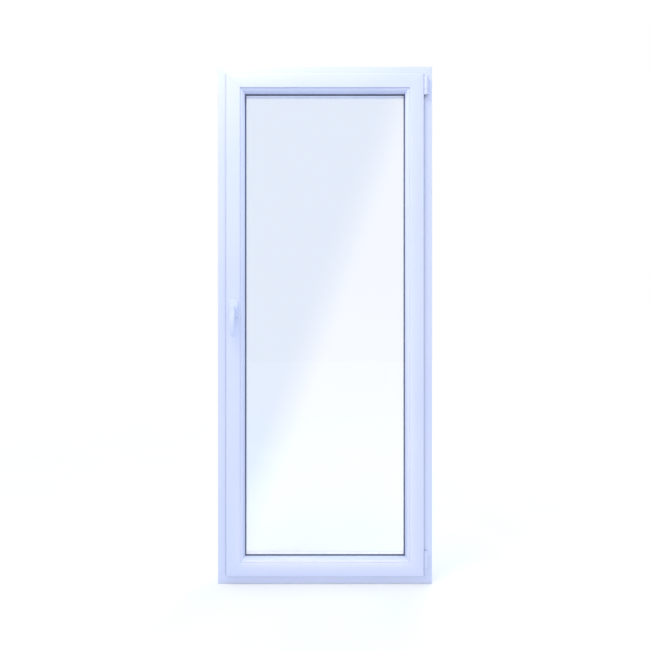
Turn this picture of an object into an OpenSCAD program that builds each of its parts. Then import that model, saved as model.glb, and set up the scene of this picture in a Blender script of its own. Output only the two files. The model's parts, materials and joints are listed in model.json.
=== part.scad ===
// Tall single-sash tilt-and-turn casement window in hollow white plastic profiles.
// X runs to the right seen from the room, Y runs outwards, Z up. The origin is the middle of
// the underside of the outer frame. u is the distance in from the outer edge of the frame.

/* [Window] */
// Width over the outer frame
frame_w = 870; // [700:10:1100]
// Height over the outer frame
frame_h = 2100; // [1500:10:2300]

/* [Frame profile] */
// Depth of the frame from the room face to the outside face
frame_depth = 70; // [68:1:80]
// Height of the frame profile on the room side
frame_body = 44; // [42:1:50]
// How far the outside lip stands up past the frame body
lip_rise = 22; // [19:1:26]
// Outer wall of the hollow profiles
wall = 3; // [2.5:0.1:3.2]
// Inner webs of the hollow profiles
web = 1.8; // [1.2:0.1:2.2]
// Wall of the steel stiffeners
steel_t = 2; // [1.5:0.1:2.5]
// Rounding of the visible profile edges
edge_r = 2.5; // [1:0.5:3]

/* [Sash profile] */
// How far the sash laps over the frame on the room side
overlap = 8; // [6:0.5:10]
// Thickness of the sash lap and of the outside frame lip
lap_t = 12.5; // [11:0.5:14]
// Gap between sash and frame that the seals bridge
seal_gap = 3.5; // [3:0.1:4]
// Air gap between frame rebate and sash
air_gap = 12; // [11.5:0.1:13]
// Height of the sash profile below the glazing rebate
sash_body = 35; // [34:0.5:42]
// Height of the glazing beads
bead_h = 18.5; // [16:0.5:22]
// Thickness of the glazing lip on the outside
glazing_lip_t = 13; // [12:0.5:15]

/* [Glass] */
// Thickness of each pane
pane_t = 4; // [3:0.5:4]
// Width of the gap between the panes
cavity = 16; // [14:1:16]
// Thickness of the glazing seals
glazing_seal_t = 3; // [2.5:0.1:3.5]
// Thickness of the packers under the glass
packer_t = 5; // [3:0.5:6]
// Height of the sealant round the edge of the glass unit
edge_seal_h = 9; // [7:0.5:10]
// Height of the spacer bar
spacer_h = 7.5; // [6:0.5:7.5]
// How far the black seals show past the beads
seal_sight = 2.5; // [2:0.5:5]

/* [Locking gear] */
// Distance from the sash lap to the gear's centre line
gear_offset = 13; // [12.5:0.1:13.5]
// Width of the faceplates
faceplate_w = 16; // [15.6:0.1:16.4]
// Thickness of the faceplates
faceplate_t = 2.4; // [2:0.1:2.6]
// Thickness of the drive rods
rod_t = 2; // [1.8:0.1:2.2]
// Width of the drive rods
rod_w = 11.4; // [11:0.1:11.6]
// Distance from the faceplate's face to the handle spindle
backset = 12; // [12:0.1:13]
// Teeth on a full turn of the gearbox pinion
pinion_teeth = 16; // [15:1:16]
// Shank radius of the locking cams
cam_r = 4; // [3.5:0.1:4.2]
// Head radius of the locking cams
cam_head_r = 5.5; // [5:0.1:6]
// Distance between the locking points on the side
cam_pitch = 620; // [400:10:640]

/* [Handle] */
// Height of the handle spindle above the bottom of the frame
handle_z = 1114; // [900:1:1250]
// Side of the square spindle
spindle_a = 7; // [6.5:0.1:7]
// Distance between the two handle screws
handle_pitch = 43; // [42:0.5:44]
// Width of the handle rosette
rosette_w = 34; // [30:1:36]
// Height of the handle rosette
rosette_h = 70; // [66:1:76]
// How far the rosette stands off the sash
rosette_t = 10; // [9:0.5:13]
// Length of the lever from the spindle to its tip
lever_l = 110; // [105:1:140]
// Distance from the sash face to the middle of the grip
lever_off = 42; // [38:1:50]
// Width of the grip at its root
grip_w = 22; // [20:1:24]
// Thickness of the grip
grip_t = 12; // [10:0.5:14]

/* [Hinges] */
// Distance of the hinge axis past the edge of the sash
hinge_out = 9.5; // [9.5:0.1:10.5]
// Distance of the hinge axis in front of the frame face
hinge_proj = 11; // [11:0.1:12]
// Height of the bottom pivot above the bottom of the frame
pivot_z = 60.5; // [58:0.5:64]
// Radius of the pivot ball
ball_r = 5; // [4.6:0.1:5.1]
// Radius of the hinge pins
hinge_pin_r = 3; // [2.5:0.1:3]
// Radius of the hinge covers
cover_r = 9; // [8.8:0.1:9.1]
// Thickness of the cover shells
cover_t = 1.3; // [1:0.1:1.4]
// Height of the frame cover on the bottom hinge
lower_cover_h = 27.5; // [25:0.5:29]
// Height of the sash part of the bottom hinge
band_h = 68; // [60:1:80]
// Height of the frame part of the top hinge
bearing_h = 52; // [46:1:56]
// Height of the stay knuckle
knuckle_h = 24; // [20:1:28]
// Length of the stay arm from the hinge pin to the sliding pin
stay_l = 450; // [440:1:455]
// Thickness of the stay arm
stay_t = 3; // [2.5:0.1:3]

/* [Fixings] */
// Radius of the frame fixing holes through the jambs
fixing_r = 3.5; // [3:0.1:4]
// Distance between the outer pair of fixing holes
fixing_outer = 1800; // [1000:10:1850]
// Distance between the inner pair of fixing holes
fixing_inner = 600; // [300:10:700]

/* [Hidden] */
$fn = 48;
eps = 0.01;

// Clearances
run = 0.05;     // turning fits
slide = 0.2;    // sliding fits
clear = 0.5;    // between pieces that pass each other

// Depths (Y)
y_room = -frame_depth / 2;
y_out = frame_depth / 2;
lip_in = y_out - lap_t;
room_chamber = 18;      // from the frame's face to its stiffener chamber
steel_chamber = 28;
steel_lip = 8;
steel_y = [y_room + room_chamber, y_room + room_chamber + steel_chamber];
lap_back = y_room - seal_gap;
sash_front = lap_back - lap_t;
sash_rear = lip_in - seal_gap;
gear_y = lap_back + gear_offset;
glaze_out = sash_rear - glazing_lip_t;
sash_steel_y = [gear_y + faceplate_w / 2 + 3, glaze_out + 0.5];
pane_out = glaze_out - glazing_seal_t;
pane_room = pane_out - 2 * pane_t - cavity;
bead_back = pane_room - glazing_seal_t - 0.2;
fixing_y = -3;

// Seal groove in the outside lip of the frame, measured down from the lip's top
seal_slot = [5, 8];
seal_slot_deep = 2.5;
groove_deep = 12;

// Packers: their length, and how far in from the glazing rebate's corners their middles lie
packer_l = 100;
packer_in_x = 70;
packer_in_z = 120;

// Distances in from the outer edge (u)
lip_u = frame_body + lip_rise;
sash_u = frame_body - overlap;
groove_u = frame_body + air_gap;
rebate_u = groove_u + sash_body;
face_u = rebate_u + 2;
bead_u = rebate_u + bead_h;
glass_u = rebate_u + packer_t;
plate_in = groove_u + faceplate_t;
rod_u = plate_in + slide;
rod_mid = rod_u + rod_t / 2;
groove_floor = groove_u + groove_deep;
spindle_u = groove_u + backset;

// Sash gear
spindle_x = -frame_w / 2 + spindle_u;
groove_w = 12;
pitch_r = spindle_u - rod_mid;
tooth_pitch = 2 * PI * pitch_r / pinion_teeth;
pinion_root = spindle_u - rod_u - rod_t - clear;
pinion_tip = pitch_r + rod_t / 2 - slide;
tooth_root_w = 1.1;
tooth_tip_w = 0.6;
window_l = tooth_pitch - 1;
pinion_w = 8;
travel = PI * pitch_r;
rack_z = [handle_z - 12, handle_z + travel + 12];
gearbox_l = 124;
gearbox_w = 15;
gearbox_deep = 26;
gearbox_back = gear_y + gearbox_w / 2;
cam_low = 380;          // height of the lowest cam on the side
plate_end = 170;        // from the frame's edge to the side faceplate
side_plate_ends = [plate_end, frame_h - plate_end];
corner_leg = plate_end - groove_u - 2;
rod_ends = [side_plate_ends[0] + travel + 12, side_plate_ends[1] - 12];
rod_y = [gear_y - rod_w / 2, gear_y + rod_w / 2 - 4];   // leaves room for the screws
rail_cam_in = 215;      // from the frame's edge to the cams at head and foot
rail_cam_x = -frame_w / 2 + rail_cam_in;
rod_past_cam = 150;
rod_gap = 34;           // from the top rod to the pin that slides in the sash
rail_x = [-frame_w / 2 + groove_u + corner_leg + 1, frame_w / 2 - groove_u - 12];
cam_reach = 8;
cam_head_t = 2;
cam_slot_r = cam_r + 0.4;
keep_t = 1.5;
keep_lip_h = frame_body + air_gap - 3.5;
plate_screw = [1.2, 2.2, 20];       // shank radius, head radius and length
plate_screw_in = 30;                // from a faceplate's end to its screw
gearbox_screw_gap = 17;             // from the gearbox to the nearest faceplate screws
rail_screw_in = 7;
slider_screw_gap = 60;
link_screw_gap = 50;
plate_screw_y = gear_y + faceplate_w / 2 - 3.4;

// Hinge axis
hinge_x = frame_w / 2 - sash_u + hinge_out;
hinge_y = y_room - hinge_proj;
barrel_r = cover_r - cover_t - 0.4;
slot_front = hinge_y + 2;       // the hinge leaves run into the barrels behind this
socket_r = barrel_r - 0.7;
seat_z = pivot_z - ball_r + 0.5;
lower_cover_z = [pivot_z + 7 - lower_cover_h, pivot_z + 7];
band_z = [pivot_z + 8.2, pivot_z + 8.2 + band_h];
bearing_z = [frame_h - sash_u - 9 - bearing_h, frame_h - sash_u - 9];
knuckle_z = [bearing_z[0] - 1 - knuckle_h, bearing_z[0] - 1];
tongue_y = [lap_back + clear, y_room - clear];
leaf_u = groove_u - 2.8;

// Stay
top_z = frame_h - groove_u;
link_t = 2;
link_z = top_z + 0.6;
arm_z = link_z + link_t + 0.6;
arm_w = 13;
slider_x = hinge_x - stay_l;
stay_slide = 15.5;
slider_r = 4;
link_joint = 300;       // from the hinge to the pin between arm and link
link_foot = 160;        // from the hinge to the pin between link and sash
link_b = hinge_x - link_joint;
link_p = hinge_x - link_foot;
link_pin_r = 2.5;
open_pivot_gap = 2;
stay_pin_down = 5.5;

// Handle
rosette_front = sash_front - rosette_t;
base_front = rosette_front + 4.2;
handle_screw = [2.5, 4.6, gearbox_back - base_front];
neck_r = 9.5;
grip_y = sash_front - lever_off;
spindle_in = grip_y + 8;

white = [0.93, 0.95, 0.98];
black = [0.12, 0.13, 0.15];
zinc = [0.72, 0.74, 0.76];

function arc(c, r, a0, a1, n = 5) =
    [for (i = [0:n]) c + r * [cos(a0 + (a1 - a0) * i / n), sin(a0 + (a1 - a0) * i / n)]];

// A box between two x, two y and two z values
module block(x, y, z) {
    translate([min(x), min(y), min(z)])
        cube([max(x) - min(x), max(y) - min(y), max(z) - min(z)]);
}

// A round bar along Y from y0 to y1
module bar_y(x, z, y0, y1, r) {
    translate([x, max(y0, y1), z]) rotate([90, 0, 0]) cylinder(r = r, h = abs(y1 - y0));
}

// A round bar along X from x0 to x1
module bar_x(y, z, x0, x1, r) {
    translate([min(x0, x1), y, z]) rotate([0, 90, 0]) cylinder(r = r, h = abs(x1 - x0));
}

// A countersunk screw with its head at the origin, pointing along -Z
module screw(r, head_r, l) {
    translate([0, 0, -l]) cylinder(r = r, h = l);
    translate([0, 0, -(head_r - r)]) cylinder(r1 = r, r2 = head_r, h = head_r - r);
}

// A rectangular ring between two distances in from the frame edge
module ring(u, y) {
    difference() {
        block([-frame_w / 2 + u[0], frame_w / 2 - u[0]], y, [u[0], frame_h - u[0]]);
        block([-frame_w / 2 + u[1], frame_w / 2 - u[1]], [y[0] - 1, y[1] + 1], [u[1], frame_h - u[1]]);
    }
}

// A profile run along the bottom of the frame and cut to a mitre at both ends.
// The 2D child has y across and u up.
module mitred(span, u0, u1, y0, y1) {
    intersection() {
        translate([-span / 2, 0, 0]) rotate([90, 0, 90]) linear_extrude(span) children();
        translate([0, y1 + 1, 0]) rotate([90, 0, 0]) linear_extrude(y1 - y0 + 2)
            polygon([[u0 - span / 2, u0], [span / 2 - u0, u0], [span / 2 - u1, u1], [u1 - span / 2, u1]]);
    }
}

module to_left() {
    translate([-frame_w / 2, 0, frame_h / 2]) rotate([0, 90, 0]) children();
}

module to_right() {
    mirror([1, 0, 0]) to_left() children();
}

module to_top() {
    translate([0, 0, frame_h]) mirror([0, 0, 1]) children();
}

// Frame ------------------------------------------------------------------------------------

module frame_section() {
    difference() {
        polygon(concat(
            arc([y_room + edge_r, edge_r], edge_r, 270, 180),
            arc([y_room + edge_r, frame_body - edge_r], edge_r, 180, 90),
            [[lip_in, frame_body], [lip_in, lip_u - seal_slot[1]]],
            [[lip_in + seal_slot_deep, lip_u - seal_slot[1]]],
            [[lip_in + seal_slot_deep, lip_u - seal_slot[0]], [lip_in, lip_u - seal_slot[0]]],
            [[lip_in, lip_u], [lip_in + 3, lip_u]],
            arc([y_out - edge_r, lip_u - 6 - edge_r], edge_r, 60, 0),
            arc([y_out - edge_r, edge_r], edge_r, 0, -90)));
        polygon([[y_room + wall, wall], [y_room + wall, frame_body - wall],
            [steel_y[0] - web, frame_body - wall], [steel_y[0] - web, wall]]);
        polygon([[steel_y[0], wall], [steel_y[0], frame_body - wall],
            [steel_y[1], frame_body - wall], [steel_y[1], wall]]);
        polygon([[steel_y[1] + web, wall], [steel_y[1] + web, frame_body - wall],
            [lip_in + wall + 2.5, frame_body - wall], [lip_in + wall + 2.5, lip_u - wall - 4],
            [y_out - wall, lip_u - wall - 9], [y_out - wall, wall]]);
    }
}

module frame_bar(span) {
    mitred(span, 0, lip_u, y_room, y_out) frame_section();
}

module fixing_holes() {
    for (side = [-1, 1], gap = [fixing_outer, fixing_inner], end = [-1, 1])
        bar_x(fixing_y, frame_h / 2 + end * gap / 2, side * (frame_w / 2 + 1),
            side * (frame_w / 2 - frame_body - 1), fixing_r);
}

drain_x = [-frame_w / 4, frame_w / 4];
drain_z = 12;
drain_l = 28;

module frame_sill() {
    color(white) difference() {
        frame_bar(frame_w);
        for (x = drain_x) {
            xs = [x - drain_l / 2, x + drain_l / 2];
            block(xs, [y_out - wall - 1, y_out + 1], [drain_z, drain_z + 5]);
            block(xs, [lip_in - 8, lip_in - 3], [frame_body - wall - 1, frame_body + 1]);
        }
        sill_keep_screws();
    }
}

module frame_head() {
    color(white) difference() {
        to_top() frame_bar(frame_w);
        head_keep_screws();
    }
}

module frame_jamb_left() {
    color(white) difference() {
        to_left() frame_bar(frame_h);
        fixing_holes();
        side_keep_screws();
    }
}

module frame_jamb_right() {
    color(white) difference() {
        to_right() frame_bar(frame_h);
        fixing_holes();
        bearing_screw_set();
    }
}

// An open channel of folded steel in the middle chamber of the frame
module frame_channel(span) {
    l = span - 2 * frame_body - 8;
    y = [steel_y[0] + clear, steel_y[1] - clear];
    u = [wall + clear, frame_body - wall - clear];
    difference() {
        block([-l / 2, l / 2], y, u);
        block([-l / 2 - 1, l / 2 + 1], [y[0] + steel_t, y[1] - steel_t], [u[0] + steel_t, u[1] - steel_t]);
        block([-l / 2 - 1, l / 2 + 1], [y[1] - steel_t - 1, y[1] + 1], [u[0] + steel_lip, u[1] - steel_lip]);
    }
}

module frame_steel() {
    color(zinc) difference() {
        union() {
            frame_channel(frame_w);
            to_top() frame_channel(frame_w);
            to_left() frame_channel(frame_h);
            to_right() frame_channel(frame_h);
        }
        fixing_holes();
        bearing_screw_set();
    }
}

module frame_gasket() {
    color(black) {
        ring([lip_u - seal_slot[1] + slide, lip_u - seal_slot[0] - slide],
            [lip_in - 0.6, lip_in + seal_slot_deep - slide]);
        ring([lip_u - seal_slot[1] - 1, lip_u - seal_slot[0] + 2], [sash_rear + clear, lip_in - 0.5]);
    }
}

// Hoods over the drain slots on the outside, open underneath
module drain_caps() {
    plate = drain_l / 2 + 6;
    hood = drain_l / 2 + 2;
    mouth = drain_l / 2 - 4;
    color(white) for (x = drain_x) translate([x, y_out, drain_z]) difference() {
        union() {
            block([-plate, plate], [0, 2], [-5, 10]);
            block([-hood, hood], [0, 5], [-2, 8]);
            for (e = [-1, 1])
                block([e * (mouth + 0.5), e * (mouth + 3.5)], [-wall - 0.5, 1], [0.5, 4.5]);
        }
        block([2 - hood, hood - 2], [2, 3.5], [-3, 6]);
        block([-mouth, mouth], [-1, 3.5], [-3, 5]);
    }
}

// Keeps ------------------------------------------------------------------------------------

function side_cam_z(i) = cam_low + i * cam_pitch;
side_cams_n = floor((frame_h - 2 * cam_low) / cam_pitch) + 1;
keep_x = [-30, 38];
keep_w = 20;
lip_start = cam_head_r + 1.5;

module keep_screw_pair() {
    for (x = [keep_x[0] + 8, keep_x[1] - 6]) translate([x, gear_y + 4, frame_body + keep_t])
        screw(2, 3.6, 20);
}

// A keep for a cam that waits at the origin: a plate on the rebate and a lip that the cam runs
// behind. x is the way the lip lies from the cam, z is up from the plate.
module keep() {
    lip_y = gear_y - cam_r - 1.2;
    difference() {
        union() {
            block(keep_x, [gear_y - keep_w / 2, gear_y + keep_w / 2],
                [frame_body, frame_body + keep_t]);
            block([lip_start, keep_x[1] - 4], [lip_y - 3, lip_y],
                [frame_body + keep_t - eps, keep_lip_h]);
        }
        keep_screw_pair();
    }
}

// The side rod moves down as the handle opens, so the lips of the side keeps are above the cams
module at_side_cams() {
    for (i = [0:side_cams_n - 1]) to_left() translate([frame_h / 2 - side_cam_z(i), 0, 0])
        mirror([1, 0, 0]) children();
}

// The head rod moves to the left, so the lip is to the right of the cam
module at_head_cam() {
    to_top() translate([rail_cam_x, 0, 0]) children();
}

// The bottom rod moves to the right, so the lip is to the left of the cam
module at_sill_cam() {
    translate([rail_cam_x, 0, 0]) mirror([1, 0, 0]) children();
}

module side_keep_screws() { at_side_cams() keep_screw_pair(); }
module head_keep_screws() { at_head_cam() keep_screw_pair(); }
module sill_keep_screws() { at_sill_cam() keep_screw_pair(); }

module side_keeps() { color(zinc) at_side_cams() keep(); }
module head_keep() { color(zinc) at_head_cam() keep(); }
module sill_keep() { color(zinc) at_sill_cam() keep(); }

module keep_screws() {
    color(zinc) {
        side_keep_screws();
        head_keep_screws();
        sill_keep_screws();
    }
}

// Frame side of the hinges -----------------------------------------------------------------

bracket_x = [hinge_x - barrel_r, hinge_x + barrel_r];
bracket_t = 2.5;
bearing_screw_x = hinge_x + 4.4;
corner_screw_first = 5;     // from the bottom of the lower cover
corner_screw_pitch = 8;
stay_screw_first = 8;       // from the bottom of the stay bearing
stay_screw_pitch = 16;
bearing_screw = [1.8, 2.8, 26];     // shank radius, head radius and length

// A barrel on the hinge axis with a web to a plate on the frame face
module bracket(z) {
    translate([hinge_x, hinge_y, z[0]]) cylinder(r = barrel_r, h = z[1] - z[0]);
    block([hinge_x - barrel_r, hinge_x - 1], [hinge_y, y_room], z);
    block(bracket_x, [y_room - bracket_t, y_room], z);
}

module bearing_screw_set() {
    low = [for (i = [0, 1]) lower_cover_z[0] + corner_screw_first + i * corner_screw_pitch];
    high = [for (i = [0, 1, 2]) bearing_z[0] + stay_screw_first + i * stay_screw_pitch];
    for (z = concat(low, high)) translate([bearing_screw_x, y_room - bracket_t, z])
        rotate([90, 0, 0]) screw(bearing_screw[0], bearing_screw[1], bearing_screw[2]);
}

module corner_bearing() {
    color(zinc) difference() {
        union() {
            bracket([lower_cover_z[0] + 1.5, seat_z]);
            translate([hinge_x, hinge_y, seat_z - eps])
                cylinder(r = hinge_pin_r, h = 2 * ball_r - 1.2);
        }
        bearing_screw_set();
    }
}

// A cover shell round the hinge axis, square to the frame face behind
module cover_shell(z, closed_end) {
    difference() {
        union() {
            translate([hinge_x, hinge_y, z[0]]) cylinder(r = cover_r, h = z[1] - z[0]);
            block([hinge_x - cover_r, hinge_x + cover_r], [hinge_y, y_room], z);
        }
        union() {
            zi = [z[0] + (closed_end < 0 ? cover_t : -1), z[1] + (closed_end > 0 ? -cover_t : 1)];
            translate([hinge_x, hinge_y, zi[0]]) cylinder(r = cover_r - cover_t, h = zi[1] - zi[0]);
            block([hinge_x - cover_r + cover_t, hinge_x + cover_r - cover_t], [hinge_y, y_room + 1], zi);
        }
    }
}

module corner_bearing_cover() {
    color(white) cover_shell(lower_cover_z, -1);
}

module stay_bearing() {
    color(zinc) difference() {
        bracket([bearing_z[0] + 0.5, bearing_z[1] - cover_t - clear]);
        translate([hinge_x, hinge_y, bearing_z[0] - 1]) cylinder(r = hinge_pin_r + run, h = bearing_h + 2);
        bearing_screw_set();
    }
}

module stay_bearing_pin() {
    color(zinc) {
        translate([hinge_x, hinge_y, knuckle_z[0] - 2])
            cylinder(r = hinge_pin_r, h = bearing_z[1] - cover_t - 1 - knuckle_z[0] + 2);
        translate([hinge_x, hinge_y, knuckle_z[0] - 4.5]) cylinder(r = hinge_pin_r + 1.5, h = 2.6);
    }
}

module stay_bearing_cover() {
    color(white) cover_shell(bearing_z, 1);
}

module bearing_screws() {
    color(zinc) bearing_screw_set();
}

// A ball that turns on the upright pin and lets the sash lean on it
module pivot_ball() {
    color(zinc) translate([hinge_x, hinge_y, pivot_z]) difference() {
        sphere(r = ball_r, $fn = 64);
        cylinder(r = hinge_pin_r + run, h = 3 * ball_r, center = true);
        translate([0, 0, -1.5 * ball_r + seat_z - pivot_z + run]) cube(3 * ball_r, center = true);
    }
}

// Sash profiles ----------------------------------------------------------------------------

module sash_section() {
    difference() {
        polygon(concat(
            arc([sash_front + edge_r, sash_u + edge_r], edge_r, 270, 180),
            arc([sash_front + edge_r / 2, face_u - edge_r / 2], edge_r / 2, 180, 90),
            [[sash_front + 4, face_u], [sash_front + 4, rebate_u], [glaze_out, rebate_u]],
            [[glaze_out, bead_u + 0.5], [glaze_out + 4, bead_u + 0.5]],
            arc([sash_rear - edge_r, bead_u - 9], edge_r, 50, 0),
            [[sash_rear, groove_u]],
            [[gear_y + faceplate_w / 2 + slide, groove_u], [gear_y + faceplate_w / 2 + slide, plate_in]],
            [[gear_y + groove_w / 2, plate_in], [gear_y + groove_w / 2, groove_floor]],
            [[gear_y - groove_w / 2, groove_floor], [gear_y - groove_w / 2, plate_in]],
            [[gear_y - faceplate_w / 2 - slide, plate_in], [gear_y - faceplate_w / 2 - slide, groove_u]],
            [[lap_back, groove_u], [lap_back, sash_u]]));
        // lap chamber
        polygon([[sash_front + wall, sash_u + wall], [lap_back - wall, sash_u + wall],
            [lap_back - wall, groove_u], [sash_front + wall, groove_u]]);
        // room chamber
        polygon([[sash_front + wall, groove_u + web], [lap_back, groove_u + web + 1],
            [lap_back, rebate_u - wall], [sash_front + wall, rebate_u - wall]]);
        // chamber behind the gear groove
        polygon([[lap_back + web, groove_floor + web], [sash_steel_y[0] - web, groove_floor + web],
            [sash_steel_y[0] - web, rebate_u - wall], [lap_back + web, rebate_u - wall]]);
        // stiffener chamber
        polygon([[sash_steel_y[0], groove_u + wall], [sash_steel_y[1], groove_u + wall],
            [sash_steel_y[1], rebate_u - wall], [sash_steel_y[0], rebate_u - wall]]);
        // outside chamber
        polygon([[sash_steel_y[1] + web, groove_u + wall], [sash_rear - wall, groove_u + wall],
            [sash_rear - wall, bead_u - 13], [glaze_out + wall, bead_u - 9],
            [glaze_out + wall, rebate_u - wall], [sash_steel_y[1] + web, rebate_u - wall]]);
    }
}

module sash_bar(span) {
    mitred(span, sash_u, bead_u + 1, sash_front, sash_rear) sash_section();
}

module sash_rail_bottom() {
    color(white) difference() {
        sash_bar(frame_w);
        rail_screws();
    }
}

module sash_rail_top() {
    color(white) difference() {
        to_top() sash_bar(frame_w);
        rail_screws();
    }
}

// The stile on the handle side, milled out for the gearbox, spindle and handle screws
module sash_stile_left() {
    color(white) difference() {
        to_left() sash_bar(frame_h);
        plate_block([handle_z - gearbox_l / 2 - 1, handle_z + gearbox_l / 2 + 1],
            [plate_in - eps, plate_in + gearbox_deep + 1], gearbox_w + 0.8);
        bar_y(spindle_x, handle_z, sash_front - 1, gear_y, 7.5);
        for (e = [-1, 1])
            bar_y(spindle_x, handle_z + e * handle_pitch / 2, sash_front - 1, gear_y, 5);
        plate_screws_left();
    }
}

module sash_stile_right() {
    color(white) difference() {
        to_right() sash_bar(frame_h);
        band_screw_set();
    }
}

module sash_channel(span) {
    l = span - 2 * rebate_u - 6;
    y = [sash_steel_y[0] + clear, sash_steel_y[1] - clear];
    u = [groove_u + wall + clear, rebate_u - wall - clear];
    difference() {
        block([-l / 2, l / 2], y, u);
        block([-l / 2 - 1, l / 2 + 1], [y[0] - 1, y[1] - steel_t], [u[0] + steel_t, u[1] - steel_t]);
    }
}

module sash_steel() {
    color(zinc) {
        sash_channel(frame_w);
        to_top() sash_channel(frame_w);
        to_left() sash_channel(frame_h);
        to_right() sash_channel(frame_h);
    }
}

// Seal in the sash lap. It is lower along the bottom, where the lap dips towards the frame when
// the sash leans in, and it stops where the two hinge tongues pass.
module sash_gasket() {
    lean_dip = 1.6;
    color(black) difference() {
        ring([sash_u + 2.5, sash_u + 7], [lap_back, y_room - 0.25]);
        block([-frame_w, frame_w], [y_room - 0.25 - lean_dip, y_room], [0, pivot_z + 2]);
        block([frame_w / 2 - sash_u - 12, frame_w / 2], [lap_back - 1, y_room],
            [band_z[0] - 3, band_z[1] + 2]);
        block([frame_w / 2 - sash_u - 12, frame_w / 2], [lap_back - 1, y_room],
            [knuckle_z[0] - 3, arm_z + stay_t + 1]);
    }
}

// Glazing ----------------------------------------------------------------------------------

module bead_section() {
    front = sash_front + 0.6;
    foot_y = sash_front + 4 + 0.1;
    difference() {
        polygon(concat(
            [[foot_y, rebate_u + 0.1], [foot_y, face_u + 0.2], [front, face_u + 0.2]],
            arc([front + 3, face_u + 1.6], 3, 180, 128, 4),
            arc([bead_back - 4.5, bead_u - 3], 3, 128, 90, 4),
            [[bead_back, bead_u], [bead_back, rebate_u + 0.1]]));
        polygon([[foot_y + 2, rebate_u + 2], [foot_y + 2, face_u + 1.5],
            [bead_back - 6, bead_u - 4], [bead_back - 2, bead_u - 4], [bead_back - 2, rebate_u + 2]]);
    }
}

module bead_bar(span) {
    mitred(span, rebate_u, bead_u + 0.5, sash_front, bead_back) bead_section();
}

module bead_bottom() { color(white) bead_bar(frame_w); }
module bead_top() { color(white) to_top() bead_bar(frame_w); }
module bead_left() { color(white) to_left() bead_bar(frame_h); }
module bead_right() { color(white) to_right() bead_bar(frame_h); }

module bead_gasket() {
    color(black) {
        ring([bead_u - 5, bead_u + seal_sight], [pane_room - 1.8, pane_room]);
        ring([bead_u - 5, bead_u - 1], [bead_back, pane_room - 1.5]);
    }
}

module outer_gasket() {
    color(black) ring([bead_u - 6, bead_u], [pane_out, glaze_out]);
}

module pane(y) {
    block([-frame_w / 2 + glass_u, frame_w / 2 - glass_u], y, [glass_u, frame_h - glass_u]);
}

module glass_room() {
    color([0.8, 0.9, 0.95, 0.4]) pane([pane_room, pane_room + pane_t]);
}

module glass_outside() {
    color([0.8, 0.9, 0.95, 0.4]) pane([pane_out - pane_t, pane_out]);
}

module glass_spacer() {
    u0 = glass_u + edge_seal_h;
    color(zinc) ring([u0, u0 + spacer_h], [pane_room + pane_t, pane_out - pane_t]);
}

module edge_seal() {
    color(black) ring([glass_u, glass_u + edge_seal_h], [pane_room + pane_t, pane_out - pane_t]);
}

// Blocks that carry and centre the glass: two under it, two over it and two on each side
module glazing_packers() {
    l = packer_l;
    y = [pane_room, pane_out];
    u = [rebate_u, glass_u];
    color([0.2, 0.35, 0.7]) for (e = [-1, 1]) {
        x = e * (frame_w / 2 - rebate_u - packer_in_x);
        z = e * (frame_h / 2 - rebate_u - packer_in_z);
        block([x - l / 2, x + l / 2], y, u);
        to_top() block([x - l / 2, x + l / 2], y, u);
        to_left() block([z - l / 2, z + l / 2], y, u);
        to_right() block([z - l / 2, z + l / 2], y, u);
    }
}

// Locking gear -----------------------------------------------------------------------------

// x of the handle side at the distance u in from the edge
function left_x(u) = -frame_w / 2 + u;

module plate_block(z, u, w) {
    block([left_x(u[0]), left_x(u[1])], [gear_y - w / 2, gear_y + w / 2], z);
}

module gearbox_housing() {
    y = [gear_y - gearbox_w / 2, gearbox_back];
    color(zinc) difference() {
        plate_block([handle_z - gearbox_l / 2, handle_z + gearbox_l / 2],
            [plate_in, plate_in + gearbox_deep], gearbox_w);
        plate_block([handle_z - gearbox_l, handle_z + gearbox_l],
            [plate_in - 1, rod_u + rod_t + 0.4], rod_w + 2 * slide);
        bar_y(spindle_x, handle_z, gear_y - pinion_w / 2 - 0.3, gear_y + pinion_w / 2 + 0.3,
            pinion_tip + 0.6);
        bar_y(spindle_x, handle_z, y[0] - 1, y[1] + 1, pinion_root + run);
        handle_screw_set();
    }
}

function plate_screw_z() = [side_plate_ends[0] + plate_screw_in,
    handle_z - gearbox_l / 2 - gearbox_screw_gap, handle_z + gearbox_l / 2 + gearbox_screw_gap,
    side_plate_ends[1] - plate_screw_in];

module plate_screws_left() {
    for (z = plate_screw_z()) translate([left_x(groove_u), plate_screw_y, z]) rotate([0, -90, 0])
        screw(plate_screw[0], plate_screw[1], plate_screw[2]);
}

module rail_screws() {
    to_top() for (x = [rail_x[0] + rail_screw_in, slider_x - slider_screw_gap, link_p + link_screw_gap])
        rail_screw(x);
    for (x = [rail_x[0] + rail_screw_in, 0, rail_x[1] - plate_screw_in]) rail_screw(x);
}

module rail_screw(x) {
    translate([x, plate_screw_y, groove_u]) mirror([0, 0, 1])
        screw(plate_screw[0], plate_screw[1], plate_screw[2]);
}

// A round-ended slot through a faceplate at the bottom of the sash, from x0 to x1
module rail_slot(x0, x1, r) {
    for (x = [x0, x1]) translate([x, gear_y, groove_u - 2]) cylinder(r = r, h = faceplate_t + 4);
    block([x0, x1], [gear_y - r, gear_y + r], [groove_u - 2, plate_in + 2]);
}

module side_faceplate() {
    color(zinc) difference() {
        plate_block(side_plate_ends, [groove_u, plate_in], faceplate_w);
        for (i = [0:side_cams_n - 1]) to_left() translate([frame_h / 2 - side_cam_z(i), 0, 0])
            rail_slot(-1, travel + 1, cam_slot_r);
        plate_screws_left();
    }
}

// A faceplate along the bottom of the sash
module rail_faceplate() {
    block(rail_x, [gear_y - faceplate_w / 2, gear_y + faceplate_w / 2], [groove_u, plate_in]);
}

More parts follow.
